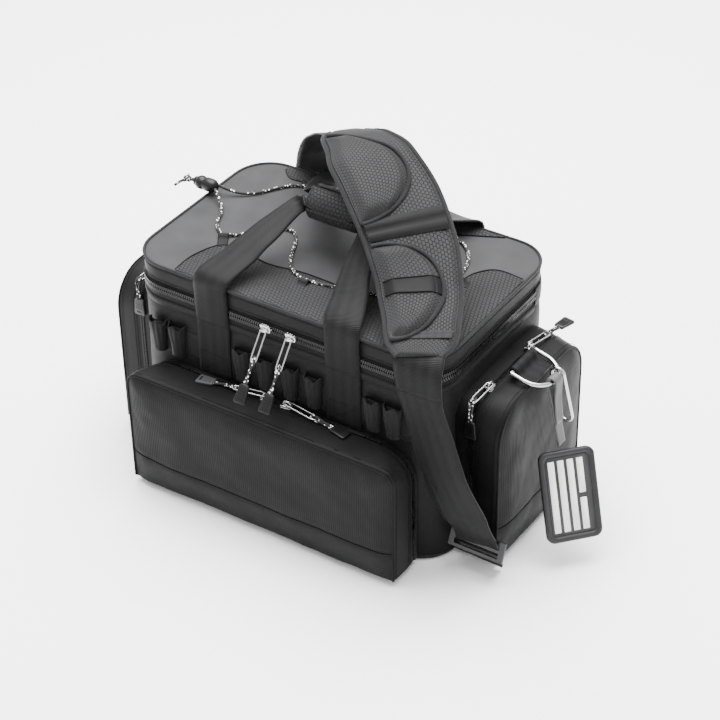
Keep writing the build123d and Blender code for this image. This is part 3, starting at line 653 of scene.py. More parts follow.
def build_hinge_cloth():
    """Cloth that joins the body and the lid along the rear."""
    limit = HALF_Y - CORNER - 4
    ring = body_outline(0.2, 480)
    last = next(k for k, point in enumerate(ring) if point.y < limit)
    half = ring[:last]
    line = [Vector((-point.x, point.y, 0)) for point in reversed(half[1:])] + half
    rows = []
    for step in range(11):
        z = TAPE_LOW_Z - 3 + (BAND_LOW_Z + 5 - TAPE_LOW_Z) * step / 10
        swell = 0.9 + 0.8 * math.sin(math.pi * step / 10)
        rows.append([point + out_of_body(point) * swell + Vector((0, 0, z)) for point in line])
    cloth_strip = grid("rear_hinge_cloth", rows, SMOOTH, thickness=1.2)
    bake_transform(cloth_strip)


FRONT_ARC = ((-151, -134), (-151, -98), (-134, -60), (-98, -60), (-60, -66), (-19, -60), (20, -60),
             (59, -61),
             (110, -36), (150, 8), (159, 44), (179, 67), (216, 66))
REAR_ARC = ((-170, 128), (-150, 112), (-110, 118), (-40, 112), (30, 108), (89, 107), (120, 120), (152, 135))


def build_lid_panels():
    """Textured panels along the front and the rear of the lid, puckered where they meet the band."""
    ring = body_outline(2.2, 480)
    front_edge = [point for point in ring if point.y < -60 or point.x > 100 and point.y < 66]
    front_edge = [point for point in front_edge if point.x > -151]
    front_edge.sort(key=lambda point: math.atan2(point.y - 400, point.x))
    rear_edge = [point for point in ring if point.y > 120 and -170 < point.x < 152]
    rear_edge.sort(key=lambda point: point.x)
    for name, edge, arc, across in (("lid_front_panel", front_edge, FRONT_ARC, 26),
                                    ("lid_rear_panel", rear_edge, REAR_ARC, 8)):
        arc_line = smooth_line([(x, y, 0) for x, y in arc], 4)
        columns = 200
        outer = even(edge, columns)
        inner = even(arc_line, columns)
        rows = []
        for row in range(across + 1):
            share = row / across
            line = []
            for start, stop in zip(outer, inner):
                point = start.lerp(stop, share)
                puff = 1.7 * (4 * share * (1 - share)) ** 0.5
                crease = abs(noise.noise(Vector((start.x, start.y, 0)) / 7))
                pucker = 1.5 * math.exp(-(share / 0.13) ** 2) * crease
                point.z = TOP_Z + 0.35 + puff * 0.6 + pucker + wobble(point, 16, 0.5)
                line.append(point)
            rows.append(line)
        panel = grid(name, rows, HEX, flat_uv=lid_uv)
        settle(panel, "lid", "ripstop_fabric")
        seam = [point + Vector((0, 0, TOP_Z + 0.9)) for point in arc_line]
        # Near-black tube along the panel's seam: the sewn seam line together with painted shade of the seam
        # valley beside the puffed panel.
        seam_shade_line = tube(f"{name}_seam", seam[::2], 0.7, PIPING)
        settle(seam_shade_line, "lid", "piping")
        sewn = stitches(f"{name}_stitches", [[point + Vector((0, 0, 0.5)) for point in seam]],
                        lambda point: (0, 0, 1))
        settle(sewn, "lid", "piping")


def build_zip():
    """Both halves of the main zip: woven tape and coil teeth on the front and the sides."""
    for name, body, low, high, row_z, slant in (
            ("body", "bag_body", TAPE_LOW_Z, SPLIT_Z - 0.4, SPLIT_Z - 3.1, 0.5),
            ("lid", "lid", SPLIT_Z, BAND_LOW_Z + 0.6, SPLIT_Z + 2.7, -0.5)):
        rows = [zip_line(inset, z) for inset, z in ((1.0, low), (-0.2, low + 1), (-0.2, high - 1),
                                                    (1.0, high))]
        tape = grid(f"{name}_zip_cloth", rows, TAPE, thickness=1.4)
        settle(tape, body, "zip_tape", f"{name}_zip_tape")
        places = along_places(zip_line(-1.5, row_z), 3.1, out_of_body, slant)
        teeth = boxes(f"{name}_zip_teeth", places, (1.6, 5.4, 2.0), TEETH)
        settle(teeth, body, "moulded_plastic")
    flap_rows = [zip_line(inset, z) for inset, z in
                 ((-0.4, TAPE_LOW_Z - 12), (-1.6, TAPE_LOW_Z - 8), (-2.2, TAPE_LOW_Z - 4),
                  (-1.6, TAPE_LOW_Z - 0.5),
                  (-0.2, TAPE_LOW_Z + 0.6))]
    welt = grid("zip_welt", flap_rows, SMOOTH)
    settle(welt, "bag_body", "coated_fabric")


# ---------------------------------------------------------------- pockets

def arch_line(width, low, high, corner, closed=False, count=180):
    """Pocket outline from its lower left, over the rounded top, to its lower right, as (across, up)."""
    half = width / 2
    points = [Vector((-half, low, 0))]
    for side, start in ((-1, 180), (1, 90)):
        for index in range(9):
            angle = math.radians(start - 90 * index / 8)
            points.append(Vector((side * (half - corner) + corner * math.cos(angle),
                                  high - corner + corner * math.sin(angle), 0)))
    points.append(Vector((half, low, 0)))
    if closed:
        points.append(points[0].copy())
    return even(points, count)


def half_width_at(up, width, high, corner):
    """Half of a pocket's width at one height."""
    over = up - (high - corner)
    if over <= 0:
        return width / 2
    return width / 2 - corner + math.sqrt(max(corner ** 2 - over ** 2, 0.0))


def build_pocket(name, body, place, size, corners, looks):
    """Soft pocket: fixed rim, zip, gusset, swelling front panel with a lower band, piping and stitches."""
    width, low, high, depth, rim = size
    upper, lower, bulge, seam_up = looks
    shell_low = low + 3.4
    rear_corner, corner = corners
    edge_out = depth - 5

    def ring_rows(levels, closed):
        rows = []
        for out, swell in levels:
            bend = rear_corner + (corner - rear_corner) * ease(out / edge_out)
            line = arch_line(width + 2 * swell, low if closed else shell_low, high + swell, bend, closed)
            rows.append([place(point.x, point.y, out) for point in line])
        return rows

    rim_levels = [(0.2, 0), (rim * 0.3, 0.6), (rim * 0.7, 0.6), (rim - 0.8, -0.2)]
    rim_cloth = grid(f"{name}_rim", ring_rows(rim_levels, True), SMOOTH)
    settle(rim_cloth, "bag_body", "coated_fabric", f"{name}_base")
    for index, (owner, out, slant) in enumerate((("bag_body", rim - 1.6, 0.5), (body, rim + 1.9, -0.5))):
        bend = rear_corner + (corner - rear_corner) * ease(out / edge_out)
        line = [place(point.x, point.y, out) for point in arch_line(width + 1.2, 40, high + 0.6, bend)]
        places = along_places(line, 2.4, place.normal, slant)
        teeth = boxes(f"{name}_teeth_{index}", places, (1.3, 3.0, 1.4), TEETH)
        settle(teeth, owner, "moulded_plastic")

    gusset_levels = [(rim + 0.6, -0.4), (rim + 1.5, 0.4)]
    gusset_levels += [(rim + 1.5 + (edge_out - rim - 3) * k / 8, 0.5 + 1.0 * math.sin(math.pi * k / 8))
                      for k in range(1, 9)]
    gusset_levels += [(edge_out, -0.6)]
    gusset = grid(f"{name}_gusset", ring_rows(gusset_levels, False), upper[1])
    settle(gusset, body, "coated_fabric")

    face_rows = []
    ups = [shell_low + (seam_up - shell_low) * k / 10 for k in range(11)]
    ups += [seam_up + (high - corner - seam_up) * k / 26 for k in range(1, 27)]
    ups += [high - corner + corner * math.sin(math.pi / 2 * k / 8) for k in range(1, 9)]
    for up in ups:
        half = half_width_at(min(up, high - 0.05), width, high, corner)
        row = []
        for column in range(65):
            across = math.sin(math.pi / 2 * (column / 32 - 1)) * half
            edge = min(half - abs(across), high - up)
            foot = up - shell_low
            near_seam = math.exp(-((up - seam_up) / 3.5) ** 2)
            out = edge_out + bulge * (1 - math.exp(-edge / 16)) * (0.35
                                                                   + 0.65 * ease(foot / 40)) - 1.2 * near_seam
            spot = place(across, up, out)
            out += wobble(spot, 55, 2.2 * ease(edge / 25)) + wobble(spot, 17, 0.7 * ease(edge / 12), 5.0)
            row.append(place(across, up, out))
        face_rows.append(row)
    upper_panel = grid(f"{name}_panel", face_rows[10:], upper[0])
    settle(upper_panel, body, "ripstop_fabric", f"{name}_shell")
    lower_panel = grid(f"{name}_lower_band", face_rows[:11], lower)
    settle(lower_panel, body, "coated_fabric")
    seam_line = [Vector(point) + place.outward * 0.3 for point in face_rows[10]]
    seam = tube(f"{name}_seam", seam_line, 0.9, PIPING)
    settle(seam, body, "piping")
    rim_line = [place(point.x, point.y, edge_out + 0.4)
                for point in arch_line(width - 0.6, shell_low, high - 0.3, corner, count=90)]
    piping = tube(f"{name}_piping", rim_line, 1.7, PIPING)
    settle(piping, body, "piping")
    foot_rows = [[place(across * half, shell_low, out) for across in (-1, -0.5, 0, 0.5, 1)]
                 for half in (width / 2,) for out in (rim + 1, depth * 0.6, edge_out + 0.6)]
    foot = grid(f"{name}_foot", foot_rows, lower, thickness=1.0)
    settle(foot, body, "coated_fabric")
    lines = []
    for out in (rim + 9, rim + 12.5, edge_out - 5):
        bend = rear_corner + (corner - rear_corner) * ease(out / edge_out)
        lines.append([place(point.x, point.y, out)
                      for point in arch_line(width + 3.4, shell_low, high + 1.7, bend)])
    sewn = stitches(f"{name}_stitches", lines, place.normal)
    settle(sewn, body, "piping")


class Face:
    """Places a pocket's (across, up, out) on one side of the bag."""

    def __init__(self, origin, across, outward):
        self.origin = Vector(origin)
        self.across = Vector(across)
        self.outward = Vector(outward)

    def __call__(self, across, up, out):
        return self.origin + self.across * across + self.outward * out + Vector((0, 0, up))

    def normal(self, point):
        """Direction away from the pocket's middle, square to its depth."""
        away = Vector(point) - self.origin - Vector((0, 0, 90))
        away = away - self.outward * away.dot(self.outward)
        flat = away.dot(self.across)
        if abs(flat) > away.z:
            return self.across * math.copysign(1, flat)
        return Vector((0, 0, 1))


def build_pockets():
    """Front pocket and two side pockets, sized from their CAD solids."""
    low, high = node_span("front_pocket_base")
    face_low = node_span("front_pocket_shell")[0].y
    front = Face((0, -HALF_Y, 0), (1, 0, 0), (0, -1, 0))
    size = (high.x - low.x, low.z, high.z, -HALF_Y - face_low, 9.0)
    build_pocket("front_pocket", "pocket_front", front, size, (46.0, 16.0),
                 ((RIPSTOP, SMOOTH), SMOOTH, 9.0, 50.0))
    for name, side in (("right_pocket", 1), ("left_pocket", -1)):
        low, high = node_span(f"{name}_base")
        shell_low, shell_high = node_span(f"{name}_shell")
        reach = max(abs(shell_low.x), abs(shell_high.x)) - HALF_X
        place = Face((side * HALF_X, (low.y + high.y) / 2, 0), (0, 1, 0), (side, 0, 0))
        size = (high.y - low.y, low.z, high.z, reach, 22.0)
        build_pocket(name, f"pocket_{name.split('_')[0]}", place, size, (26.0, 48.0),
                     ((RIPSTOP, SMOOTH), SMOOTH, 8.0, 58.0))


LOOP_CENTRES = (-178.0, -149.0, -52.0, -18.0, 18.0, 52.0, 136.0, 163.0)


def build_tool_loops():
    """Gathered elastic loops: wide and wavy at the top, drawn in at the bottom."""
    low, high = node_span("tool_loops")
    rows_all = []
    for index, centre in enumerate(LOOP_CENTRES):
        rows = []
        for row in range(15):
            share = row / 14
            half = 9.2 + 2.8 * ease(share)
            reach = 8.5 + 3.5 * ease(share)
            line = []
            for column in range(19):
                angle = math.pi * column / 18
                ripple = 0.9 * math.sin(column * 1.9 + index) * share
                top = 2.6 * math.sin(column * 0.75 + index * 1.7) * ease(share * 2 - 1)
                line.append((centre - math.cos(angle) * half,
                             -HALF_Y - 0.6 - math.sin(angle) ** 0.7 * reach - ripple,
                             low.z + (high.z - low.z) * share + top))
            rows.append(line)
        loop = grid(f"tool_loop_{index + 1}", rows, ELASTIC, thickness=1.3)
        settle(loop, "bag_body", "elastic", *(["tool_loops"] if index == 0 else []))
        rows_all.append([Vector((centre + side * 12.6, -HALF_Y - 1.2, low.z)) for side in (-1, 1)])
    strip_rows = [[(x, -HALF_Y - 1.0 - 0.4 * math.sin(math.pi * k / 4), low.z - 1
                    + (high.z - low.z - 4) * k / 4)
                   for x in [-192 + 6 * n for n in range(65)]] for k in range(5)]
    strip = grid("tool_loop_backing", strip_rows, ELASTIC, thickness=1.0)
    settle(strip, "bag_body", "elastic")
    bars = [[spot, spot + Vector((0, 0, high.z - low.z - 6))] for pair in rows_all for spot in pair]
    sewn = stitches("tool_loop_stitches", bars, lambda point: (0, -1, 0), 3.0)
    settle(sewn, "bag_body", "elastic")


# ---------------------------------------------------------------- handles

LEG_X = 94.0
HANDLE_WIDTH = 48.0
GRIP_Z = 368.0


def leg_stations(side, end):
    """Webbing of one handle leg from the wall to the grip."""
    bar_y = 7.3 * side
    wall_y = side * (HALF_Y + 3.6)
    return [((end * LEG_X, side * (HALF_Y + 2.7), 250), (1, 0, 0), HANDLE_WIDTH),
            ((end * LEG_X, wall_y, 285), (1, 0, 0), HANDLE_WIDTH),
            ((end * LEG_X, wall_y, TOP_Z + 3), (1, 0, 0), HANDLE_WIDTH),
            ((end * (LEG_X - 4), side * 131, TOP_Z + 14), (1, 0, 0), HANDLE_WIDTH),
            ((end * (LEG_X - 14), side * 102, TOP_Z + 25), (1, 0, 0), HANDLE_WIDTH * 0.92),
            ((end * (LEG_X - 24), side * 74, TOP_Z + 38), (1, 0.1 * end * side, 0), HANDLE_WIDTH * 0.8),
            ((end * (LEG_X - 44), bar_y + side * 8, GRIP_Z - 2), (1, 0.3 * end * side, 0),
             HANDLE_WIDTH * 0.5),
            ((end * (LEG_X - 62), bar_y + side * 3, GRIP_Z + 2), (1, 0.6 * end * side, 0),
             HANDLE_WIDTH * 0.4)]


def build_handles():
    """Sewn webbing on the walls, both handles, and the padded wrap over their grips."""
    low, high = node_span("handle_anchors")
    for side in (-1, 1):
        for end in (-1, 1):
            y = side * (HALF_Y + 2.2)
            stations = [((end * LEG_X, y, z), (1, 0, 0), HANDLE_WIDTH) for z in (low.z, 200, 230, 262)]
            strip = band(f"handle_anchor_{'front' if side < 0 else 'rear'}_{'left' if end < 0 else 'right'}",
                         stations, 2.2, WEBBING)
            settle(strip, "bag_body", "webbing")
            corners = [(end * LEG_X + dx, y + side * 1.3, z) for dx, z in
                       ((-20, 176), (20, 176), (20, 204), (-20, 204), (-20, 176), (20, 204))]
            lines = [[Vector(a), Vector(b)] for a, b in zip(corners, corners[1:])]
            sewn = stitches(f"{strip.name}_box", lines, lambda point, way=side: (0, way, 0))
            settle(sewn, "bag_body", "webbing")
    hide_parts("handle_anchors")
    for side, node, body in ((-1, "front_handle", "handle_front"), (1, "rear_handle", "handle_rear")):
        bar_y = 7.3 * side
        roll = turned(f"{node}_grip", Matrix.Translation((0, bar_y, GRIP_Z))
                      @ Matrix.Rotation(math.pi / 2, 4, "Y"),
                      [(2, -46), (6, -45.6), (7, -43), (7, -20), (6.8, 0), (7, 20), (7, 43), (6, 45.6),
                       (2, 46)],
                      WEBBING)
        settle(roll, body, "webbing", node)
        for end, word in ((-1, "left"), (1, "right")):
            leg = band(f"{node}_{word}_leg", leg_stations(side, end), 2.2, WEBBING, arch=-1.0, ripple=1.0)
            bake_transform(leg)
    build_wrap()


def wrap_point(x, angle, radius):
    """Point on the wrap's round; angle 0 is the top, and grows towards the front."""
    return Vector((x, -radius * math.sin(angle), GRIP_Z + radius * math.cos(angle)))


def build_wrap():
    """Padded wrap over both grips and its bound flap."""
    half = 34.0
    rows = []
    for row in range(21):
        x = -half + 2 * half * row / 20
        end = ease((half - abs(x)) / 6)
        line = []
        for column in range(49):
            angle = math.radians(-8 + (-262) * column / 48)
            line.append(wrap_point(x, angle, 19.2 + 1.6 * end + wobble((x, angle * 20, 0), 14, 0.7)))
        rows.append(line)
    wrap = grid("grip_wrap_pad", rows, HEX, thickness=3.0)
    settle(wrap, "handle_rear", "grip_fabric", "grip_wrap")
    flap_rows = []
    for row in range(21):
        x = -half + 2 * half * row / 20
        corner = 1 - max(0.0, (abs(x) - 19) / 10)
        reach = 78 + 12 * math.sqrt(max(corner, 0.0)) if abs(x) > 19 else 90
        line = [wrap_point(x, math.radians(2 + (reach - 2) * column / 16),
                           20.0 + 1.4 * math.sin(math.pi * column / 16)) for column in range(17)]
        flap_rows.append(line)
    flap = grid("grip_flap_pad", flap_rows, HEX, thickness=2.6)
    settle(flap, "handle_flap", "grip_fabric", "grip_flap")
    edge = [flap_rows[0][column] for column in range(0, 16, 4)] + [row[16] for row in flap_rows[::2]]
    edge += [flap_rows[20][column] for column in range(12, -1, -4)]
    binding = tube("grip_flap_binding", edge, 2.0, BINDING)
    settle(binding, "handle_flap", "piping")
    for index, x in enumerate((-half, half)):
        rim = [wrap_point(x, math.radians(-8 - 262 * k / 24), 20.0) for k in range(25)]
        ring = tube(f"grip_wrap_binding_{index}", rim, 2.0, BINDING)
        settle(ring, "handle_rear", "piping")


# ---------------------------------------------------------------- shoulder strap

REAR_LEG = (((-264, 129, 62), (1, 0.05, 0), 56), ((-256, 142, 96), (1, 0.15, 0.15), 60),
            ((-232, 154, 152), (1, 0.05, 0.25), 60), ((-186, 158, 222), (1, 0, 0.25), 60),
            ((-150, 156, 270), (1, 0.05, 0.15), 60), ((-141, 155.5, 292), (1, 0.1, 0.1), 60),
            ((-139.5, 154.5, 298), (1, 0.1, 0.1), 60))
UPPER_STRAP = (((-140, 155, 294), (1, 0.1, 0.1), 60), ((-129, 147.5, 324), (1, 0.3, 0), 60),
               ((-103, 123.5, 366), (0.9, 0.5, 0), 60), ((-66, 94, 406), (0.8, 0.6, 0), 60),
               ((-34, 70, 428), (0.8, 0.6, 0), 60), ((-10, 52, 436), (0.76, 0.65, 0), 60))
PAD = (((-33, 69, 428.6), (0.8, 0.6, 0), 66), ((-8, 50, 437), (0.75, 0.66, 0), 84),
       ((28, 28, 431), (0.68, 0.73, 0), 106), ((78, -2, 408), (0.64, 0.76, 0), 112),
       ((121, -32, 374), (0.68, 0.73, 0), 108), ((155, -68, 344), (0.8, 0.6, 0), 98),
       ((184, -112, 325), (0.9, 0.43, 0), 86), ((201, -146, 314), (0.95, 0.3, 0), 72))
LOWER_STRAP = (((190, -124, 321), (0.93, 0.37, 0), 60), ((202, -147.5, 313), (0.97, 0.2, 0), 60),
               ((206, -156, 296), (1, 0.05, -0.1), 60), ((208, -156, 268.5), (1, 0, -0.15), 60))
FRONT_LEG = (((208, -156, 272), (1, 0, -0.15), 60), ((209, -155.4, 262), (1, 0, -0.15), 60),
             ((216, -150, 226), (1, 0, -0.22), 60), ((236, -146, 156), (1, 0.05, -0.25), 60),
             ((256, -134, 96), (1, 0.15, -0.15), 60), ((264, -121, 62), (1, 0.05, 0), 56),
             ((266, -118.5, 49), (1, 0.05, 0), 56))
PAD_HALF = 5.0
CUSHION_BASE = 7.0
CUSHION_RISE = 10.0


def build_strap():
    """Webbing of the shoulder strap, its pad, cushions, bindings, and the strap's lower ends."""
    upper = band("strap_upper", UPPER_STRAP, 2.2, WEBBING, ripple=1.0)
    settle(upper, "strap", "webbing", "strap_webbing")
    lower = band("strap_lower", LOWER_STRAP, 2.2, WEBBING, ripple=0.8)
    settle(lower, "strap", "webbing")
    rear = band("strap_rear_leg_webbing", REAR_LEG, 2.2, WEBBING, ripple=1.0)
    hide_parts("strap_rear_leg")
    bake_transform(rear)
    front = band("strap_front_leg_webbing", FRONT_LEG, 2.2, WEBBING, ripple=0.8)
    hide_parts("strap_front_leg")
    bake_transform(front)
    build_pad()
    for name, turn in (("front", Matrix.Identity(4)),
                       ("rear", Matrix.Translation((0, 8, 0)) @ Matrix.Rotation(math.pi, 4, "Z"))):
        spots = ((262, -97.8, 8), (263, -102, 22), (266, -111, 33.5), (266, -117, 42))
        stations = [(turn @ Vector(spot), turn.to_3x3() @ Vector((1, 0, 0)), 56) for spot in spots]
        stub = band(f"strap_anchor_{name}", stations, 2.2, WEBBING)
        settle(stub, "bag_body", "webbing", *(["strap_anchors"] if name == "front" else []))


def pad_frames():
    return band_frames(PAD, 5.0)


def pad_surface(frames):
    """Function that gives the pad's point at a share of its length, an offset across and a height."""
    last = len(frames) - 1

    def point(share, across, height):
        spot = min(max(share, 0.0), 1.0) * last
        index = min(int(spot), last - 1)
        part = spot - index
        first, second = frames[index], frames[index + 1]
        centre = first[0].lerp(second[0], part)
        side = first[1].lerp(second[1], part)
        normal = first[2].lerp(second[2], part)
        return centre + side * across + normal * height

    def half_width(share):
        spot = min(max(share, 0.0), 1.0) * last
        index = min(int(spot), last - 1)
        return (frames[index][3] + (frames[index + 1][3] - frames[index][3]) * (spot - index)) / 2

    return point, half_width


def build_pad():
    """Shaped pad with bound edges, two round-sided cushions, the webbing between them and a blank label."""
    frames = pad_frames()
    point, half_width = pad_surface(frames)
    rows = []
    for step in range(73):
        share = step / 72
        taper = min(share, 1 - share)
        end = 0.72 + 0.28 * math.sqrt(taper / 0.05) if taper < 0.05 else 1
        half = half_width(share) * end
        ring = []
        for index in range(44):
            angle = 2 * math.pi * index / 44
            across = math.copysign(abs(math.cos(angle)) ** 0.6, math.cos(angle)) * (half - 2)
            height = math.copysign(abs(math.sin(angle)) ** 0.8, math.sin(angle)) * PAD_HALF
            height += wobble((share * 400, across, height), 20, 0.5)
            ring.append(point(share, across, height))
        rows.append(ring)
    pad = grid("strap_pad", rows, PAD_HEX, closed=True, caps=(0, 1))
    settle(pad, "strap", "pad_fabric", "shoulder_pad")
    middle_up = frames[len(frames) // 2][2]
    for index, way in enumerate((-1, 1)):
        edge = []
        for step in range(37):
            share = step / 36
            taper = min(share, 1 - share)
            end = 0.72 + 0.28 * math.sqrt(taper / 0.05) if taper < 0.05 else 1
            edge.append(point(share, way * (half_width(share) * end - 1.5), 0.8))
        binding = tube(f"pad_binding_{index}", edge, 3.4, BINDING)
        settle(binding, "strap", "piping")
        line = [point(step / 90, way * (half_width(step / 90) - 7.5), PAD_HALF + 0.3)
                for step in range(4, 87)]
        sewn = stitches(f"pad_stitches_{index}", [line], lambda spot: middle_up)
        settle(sewn, "strap", "pad_fabric")
    for index, (start, stop) in enumerate(((0.07, 0.455), (0.545, 0.945))):
        build_cushion(index, start, stop, point, half_width)
    for index, (low, high) in enumerate(((0.455, 0.535), (0.905, 0.935))):
        strap_rows = []
        for step in range(9):
            share = low + (high - low) * step / 8
            half = half_width(share) - 6
            strap_rows.append([point(share + 0.012 * (column / 16 - 0.5) * (1 - 2 * index),
                                     (column / 8 - 1) * half,
                                     PAD_HALF + 1.0 + (1.6 - index) * abs(math.sin(math.pi * step / 4)))
                               for column in range(17)])
        bridge = grid(f"pad_bridge_{index}", strap_rows, SMOOTH if index == 0 else BINDING)
        settle(bridge, "strap", "webbing")


def build_cushion(index, start, stop, point, half_width):
    """Cushion with one straight side along the pad's inner edge and one round side."""
    length = stop - start
    rows = []
    edge = []
    for step in range(41):
        share = start + length * (0.5 - 0.5 * math.cos(math.pi * step / 40))
        middle = (share - start) / length * 2 - 1
        half = half_width(share)
        inner = -half + 4
        reach = (2 * half - 27) * math.sqrt(max(1 - middle ** 2, 0.0)) + 1.5
        row = []
        for column in range(25):
            side = column / 24
            across = inner + reach * side
            rim = min(side, 1 - side) * reach
            fall = ease(min(rim, (1 - abs(middle)) * 60) / 16)
            height = CUSHION_BASE + CUSHION_RISE * 0.62 * fall ** 0.8 + wobble((share * 300, across, 0),
                                                                               18, 0.5)
            row.append(point(share, across, height - 2.5 * (1 - fall)))
        rows.append(row)
        edge.append(point(share, inner + reach, CUSHION_BASE - 1))
    cushion = grid(f"pad_cushion_{index}", rows, PAD_HEX)
    settle(cushion, "strap", "pad_fabric", *(["pad_cushions"] if index == 0 else []))
    binding = tube(f"cushion_binding_{index}", edge, 2.6, BINDING)
    settle(binding, "strap", "piping")
    inside = [rows[k][20].lerp(rows[k][24], 0.25) for k in range(3, 38)]
    centre_up = point((start + stop) / 2, 0, 1) - point((start + stop) / 2, 0, 0)
    sewn = stitches(f"cushion_stitches_{index}", [[spot + centre_up * 0.8 for spot in inside]],
                    lambda spot: centre_up)
    settle(sewn, "strap", "pad_fabric")
    if index == 1:
        strip_rows = []
        for k in (17, 18, 19, 20, 21):
            strip_rows.append([spot + centre_up * 0.9 for spot in rows[k][1:24]])
        label = grid("pad_label", strip_rows, SMOOTH)
        settle(label, "strap", "pad_fabric")
        for mark, k in enumerate((17, 21)):
            line = tube(f"pad_label_edge_{mark}", [spot + centre_up for spot in rows[k][1:24:2]], 0.8,
                        PIPING)
            settle(line, "strap", "piping")


# ---------------------------------------------------------------- lacing cord

CORD_Z = TOP_Z + 2.6
LOCK_Z = TOP_Z + 12.5
LACING = (
    (-207, 35, LOCK_Z), (-190, 40, CORD_Z + 3), (-170, 53, CORD_Z), (-155, 76, CORD_Z), (-138, 101, CORD_Z),
    (-106, 108, CORD_Z), (-60, 96, CORD_Z), (-12, 100, CORD_Z), (38, 112, CORD_Z), (84, 108, CORD_Z),
    (122, 93, CORD_Z), (146, 60, CORD_Z), (150, 14, CORD_Z), (134, -26, CORD_Z), (104, -52, CORD_Z),
    (62, -60, CORD_Z), (20, -72, CORD_Z), (-18, -74, CORD_Z), (-44, -48, CORD_Z), (-58, -12, CORD_Z),
    (-76, 12, CORD_Z), (-104, 2, CORD_Z), (-122, -28, CORD_Z), (-146, -47, CORD_Z), (-168, -28, CORD_Z),
    (-176, -4, CORD_Z + 1), (-190, 14, CORD_Z + 3), (-207, 25, LOCK_Z),
)
TABS = ((-124, 108, 60), (-143, -46, 300), (-2, -78, 270), (84, 112, 80), (156, 20, 0))


def build_lacing():
    """Flecked cord on the lid with its sewn tabs, the cord lock and the knotted tails."""
    cord = tube("lacing_cord", LACING, 2.0, CORD)
    settle(cord, "lid", "flecked_cord", "shock_cord")
    knot_parts = build_cord_lock()
    [value * MM for value in LACING[0]]
    for index, (x, y, turn) in enumerate(TABS):
        place = Matrix.Translation((x, y, TOP_Z)) @ rotation(turn, "Z")
        profile = ((20, 0.6), (10, 0.8), (4, 1.6), (1.5, 4.6), (-1.5, 5.6), (-3.6, 3.6), (-2.6, 1.0),
                   (2, 0.5))
        stations = [(place @ Vector((out, 0, up)), place.to_3x3() @ Vector((0, 1, 0)), 13) for out,
                    up in profile]
        tab = band(f"cord_tab_{index + 1}", stations, 1.0, WEBBING, step=1.5, columns=6)
        settle(tab, "lid", "webbing", *(["cord_tabs"] if index == 0 else []))


def build_cord_lock():
    """Spring cord lock with its button, the knot and two tails."""
    low, high = node_span("cord_lock_barrel")
    centre = (low + high) / 2
    along = Matrix.Translation(centre) @ Matrix.Rotation(math.pi / 2, 4, "Y")
    half = (high.x - low.x) / 2
    radius = (high.z - low.z) / 2
    barrel = turned("cord_lock_body", along,
                    [(5.8, -half + 1), (radius * 0.78, -half), (radius * 0.98, -half + 3),
                     (radius, -half + 8),
                     (radius * 0.9, -half + 10), (radius * 0.9, -half + 12), (radius, -half
                                                                              + 14), (radius, 6),
                     (radius * 0.92, half - 5), (radius * 0.6, half - 1), (1, half)], MOULDED)
    settle(barrel, "lid", "moulded_plastic", "cord_lock_barrel")
    low, high = node_span("cord_lock_button")
    button = turned("cord_lock_push", Matrix.Translation((low.x, centre.y, centre.z)) @
                    Matrix.Rotation(math.pi / 2, 4, "Y"),
                    [(0.5, 0.2), (3.5, 0), (5.4, 0.8), (6.0, 2.4), (6.0, high.x - low.x - 1),
                     (4, high.x - low.x)],
                    MOULDED)
    settle(button, "lock_button", "moulded_plastic", "cord_lock_button")
    start = Vector((node_span("cord_lock_barrel")[0].x - 6, centre.y, centre.z))
    middle = Vector((start.x - 12, centre.y, centre.z - 2))
    loops = []
    for step in range(24):
        angle = 2 * math.pi * step / 24
        loops.append(middle + Vector((math.sin(angle) + 2 * math.sin(2 * angle),
                                      math.cos(angle) - 2 * math.cos(2 * angle),
                                      -math.sin(3 * angle))) * 1.5)
    knot = tube("cord_knot_loops", loops, 1.9, CORD, closed=True)
    settle(knot, "lid", "flecked_cord", "cord_knot")
    neck = tube("cord_knot_neck", [start + Vector((4, 0, 0)), start, middle + Vector((4, 0, 1)), middle],
                2.4, CORD)
    settle(neck, "lid", "flecked_cord")
    tails = []
    for side in (-1, 1):
        line = [middle, middle + Vector((-4, 6 * side, -1)), middle + Vector((-7, 11 * side, -3)),
                middle + Vector((-9, 15 * side, -5))]
        tail = tube(f"cord_tail_{'front' if side < 0 else 'rear'}", line, 1.8, CORD)
        tails.append(settle(tail, "lid", "flecked_cord"))
    return [barrel, knot, neck, *tails]


# ---------------------------------------------------------------- zip sliders and pulls

def slider_piece(name, body, place):
    """Cast slider: waisted body with rounded edges and an arched bridge for the pull."""
    outline = ((-7.5, -4.2), (-5.5, -5.4), (0, -5.0), (3, -4.2), (7.0, -3.6), (7.6, 0), (7.0, 3.6),
               (3, 4.2),
               (0, 5.0), (-5.5, 5.4), (-7.5, 4.2), (-6.4, 0))
    rows = []
    for height, inset in ((0, 0.8), (0.5, 0), (1.7, 0), (2.1, 0.9), (2.6, 0.9), (3.0, 0), (4.4, 0),
                          (4.9, 0.9)):
        shrink = 1 - inset / 6
        rows.append([place @ Vector((x * shrink, y * shrink, height)) for x, y in outline])
    body_mesh = grid(name, rows, CHROME, closed=True, caps=(0, 1))
    bevel = body_mesh.modifiers.new("edge", "BEVEL")
    bevel.width = 0.4 * MM
    bevel.segments = 2
    settle(body_mesh, body, "zip_metal", name.replace("_cast", ""))
    bridge = [place @ Vector(spot) for spot in ((-5.5, 0, 4.4), (-4.5, 0, 8.2), (0, 0, 9.2),
                                                (4.5, 0, 8.2), (5.5, 0, 4.4))]
    arch = tube(f"{name}_bridge", bridge, 1.3, CHROME)
    settle(arch, body, "zip_metal")


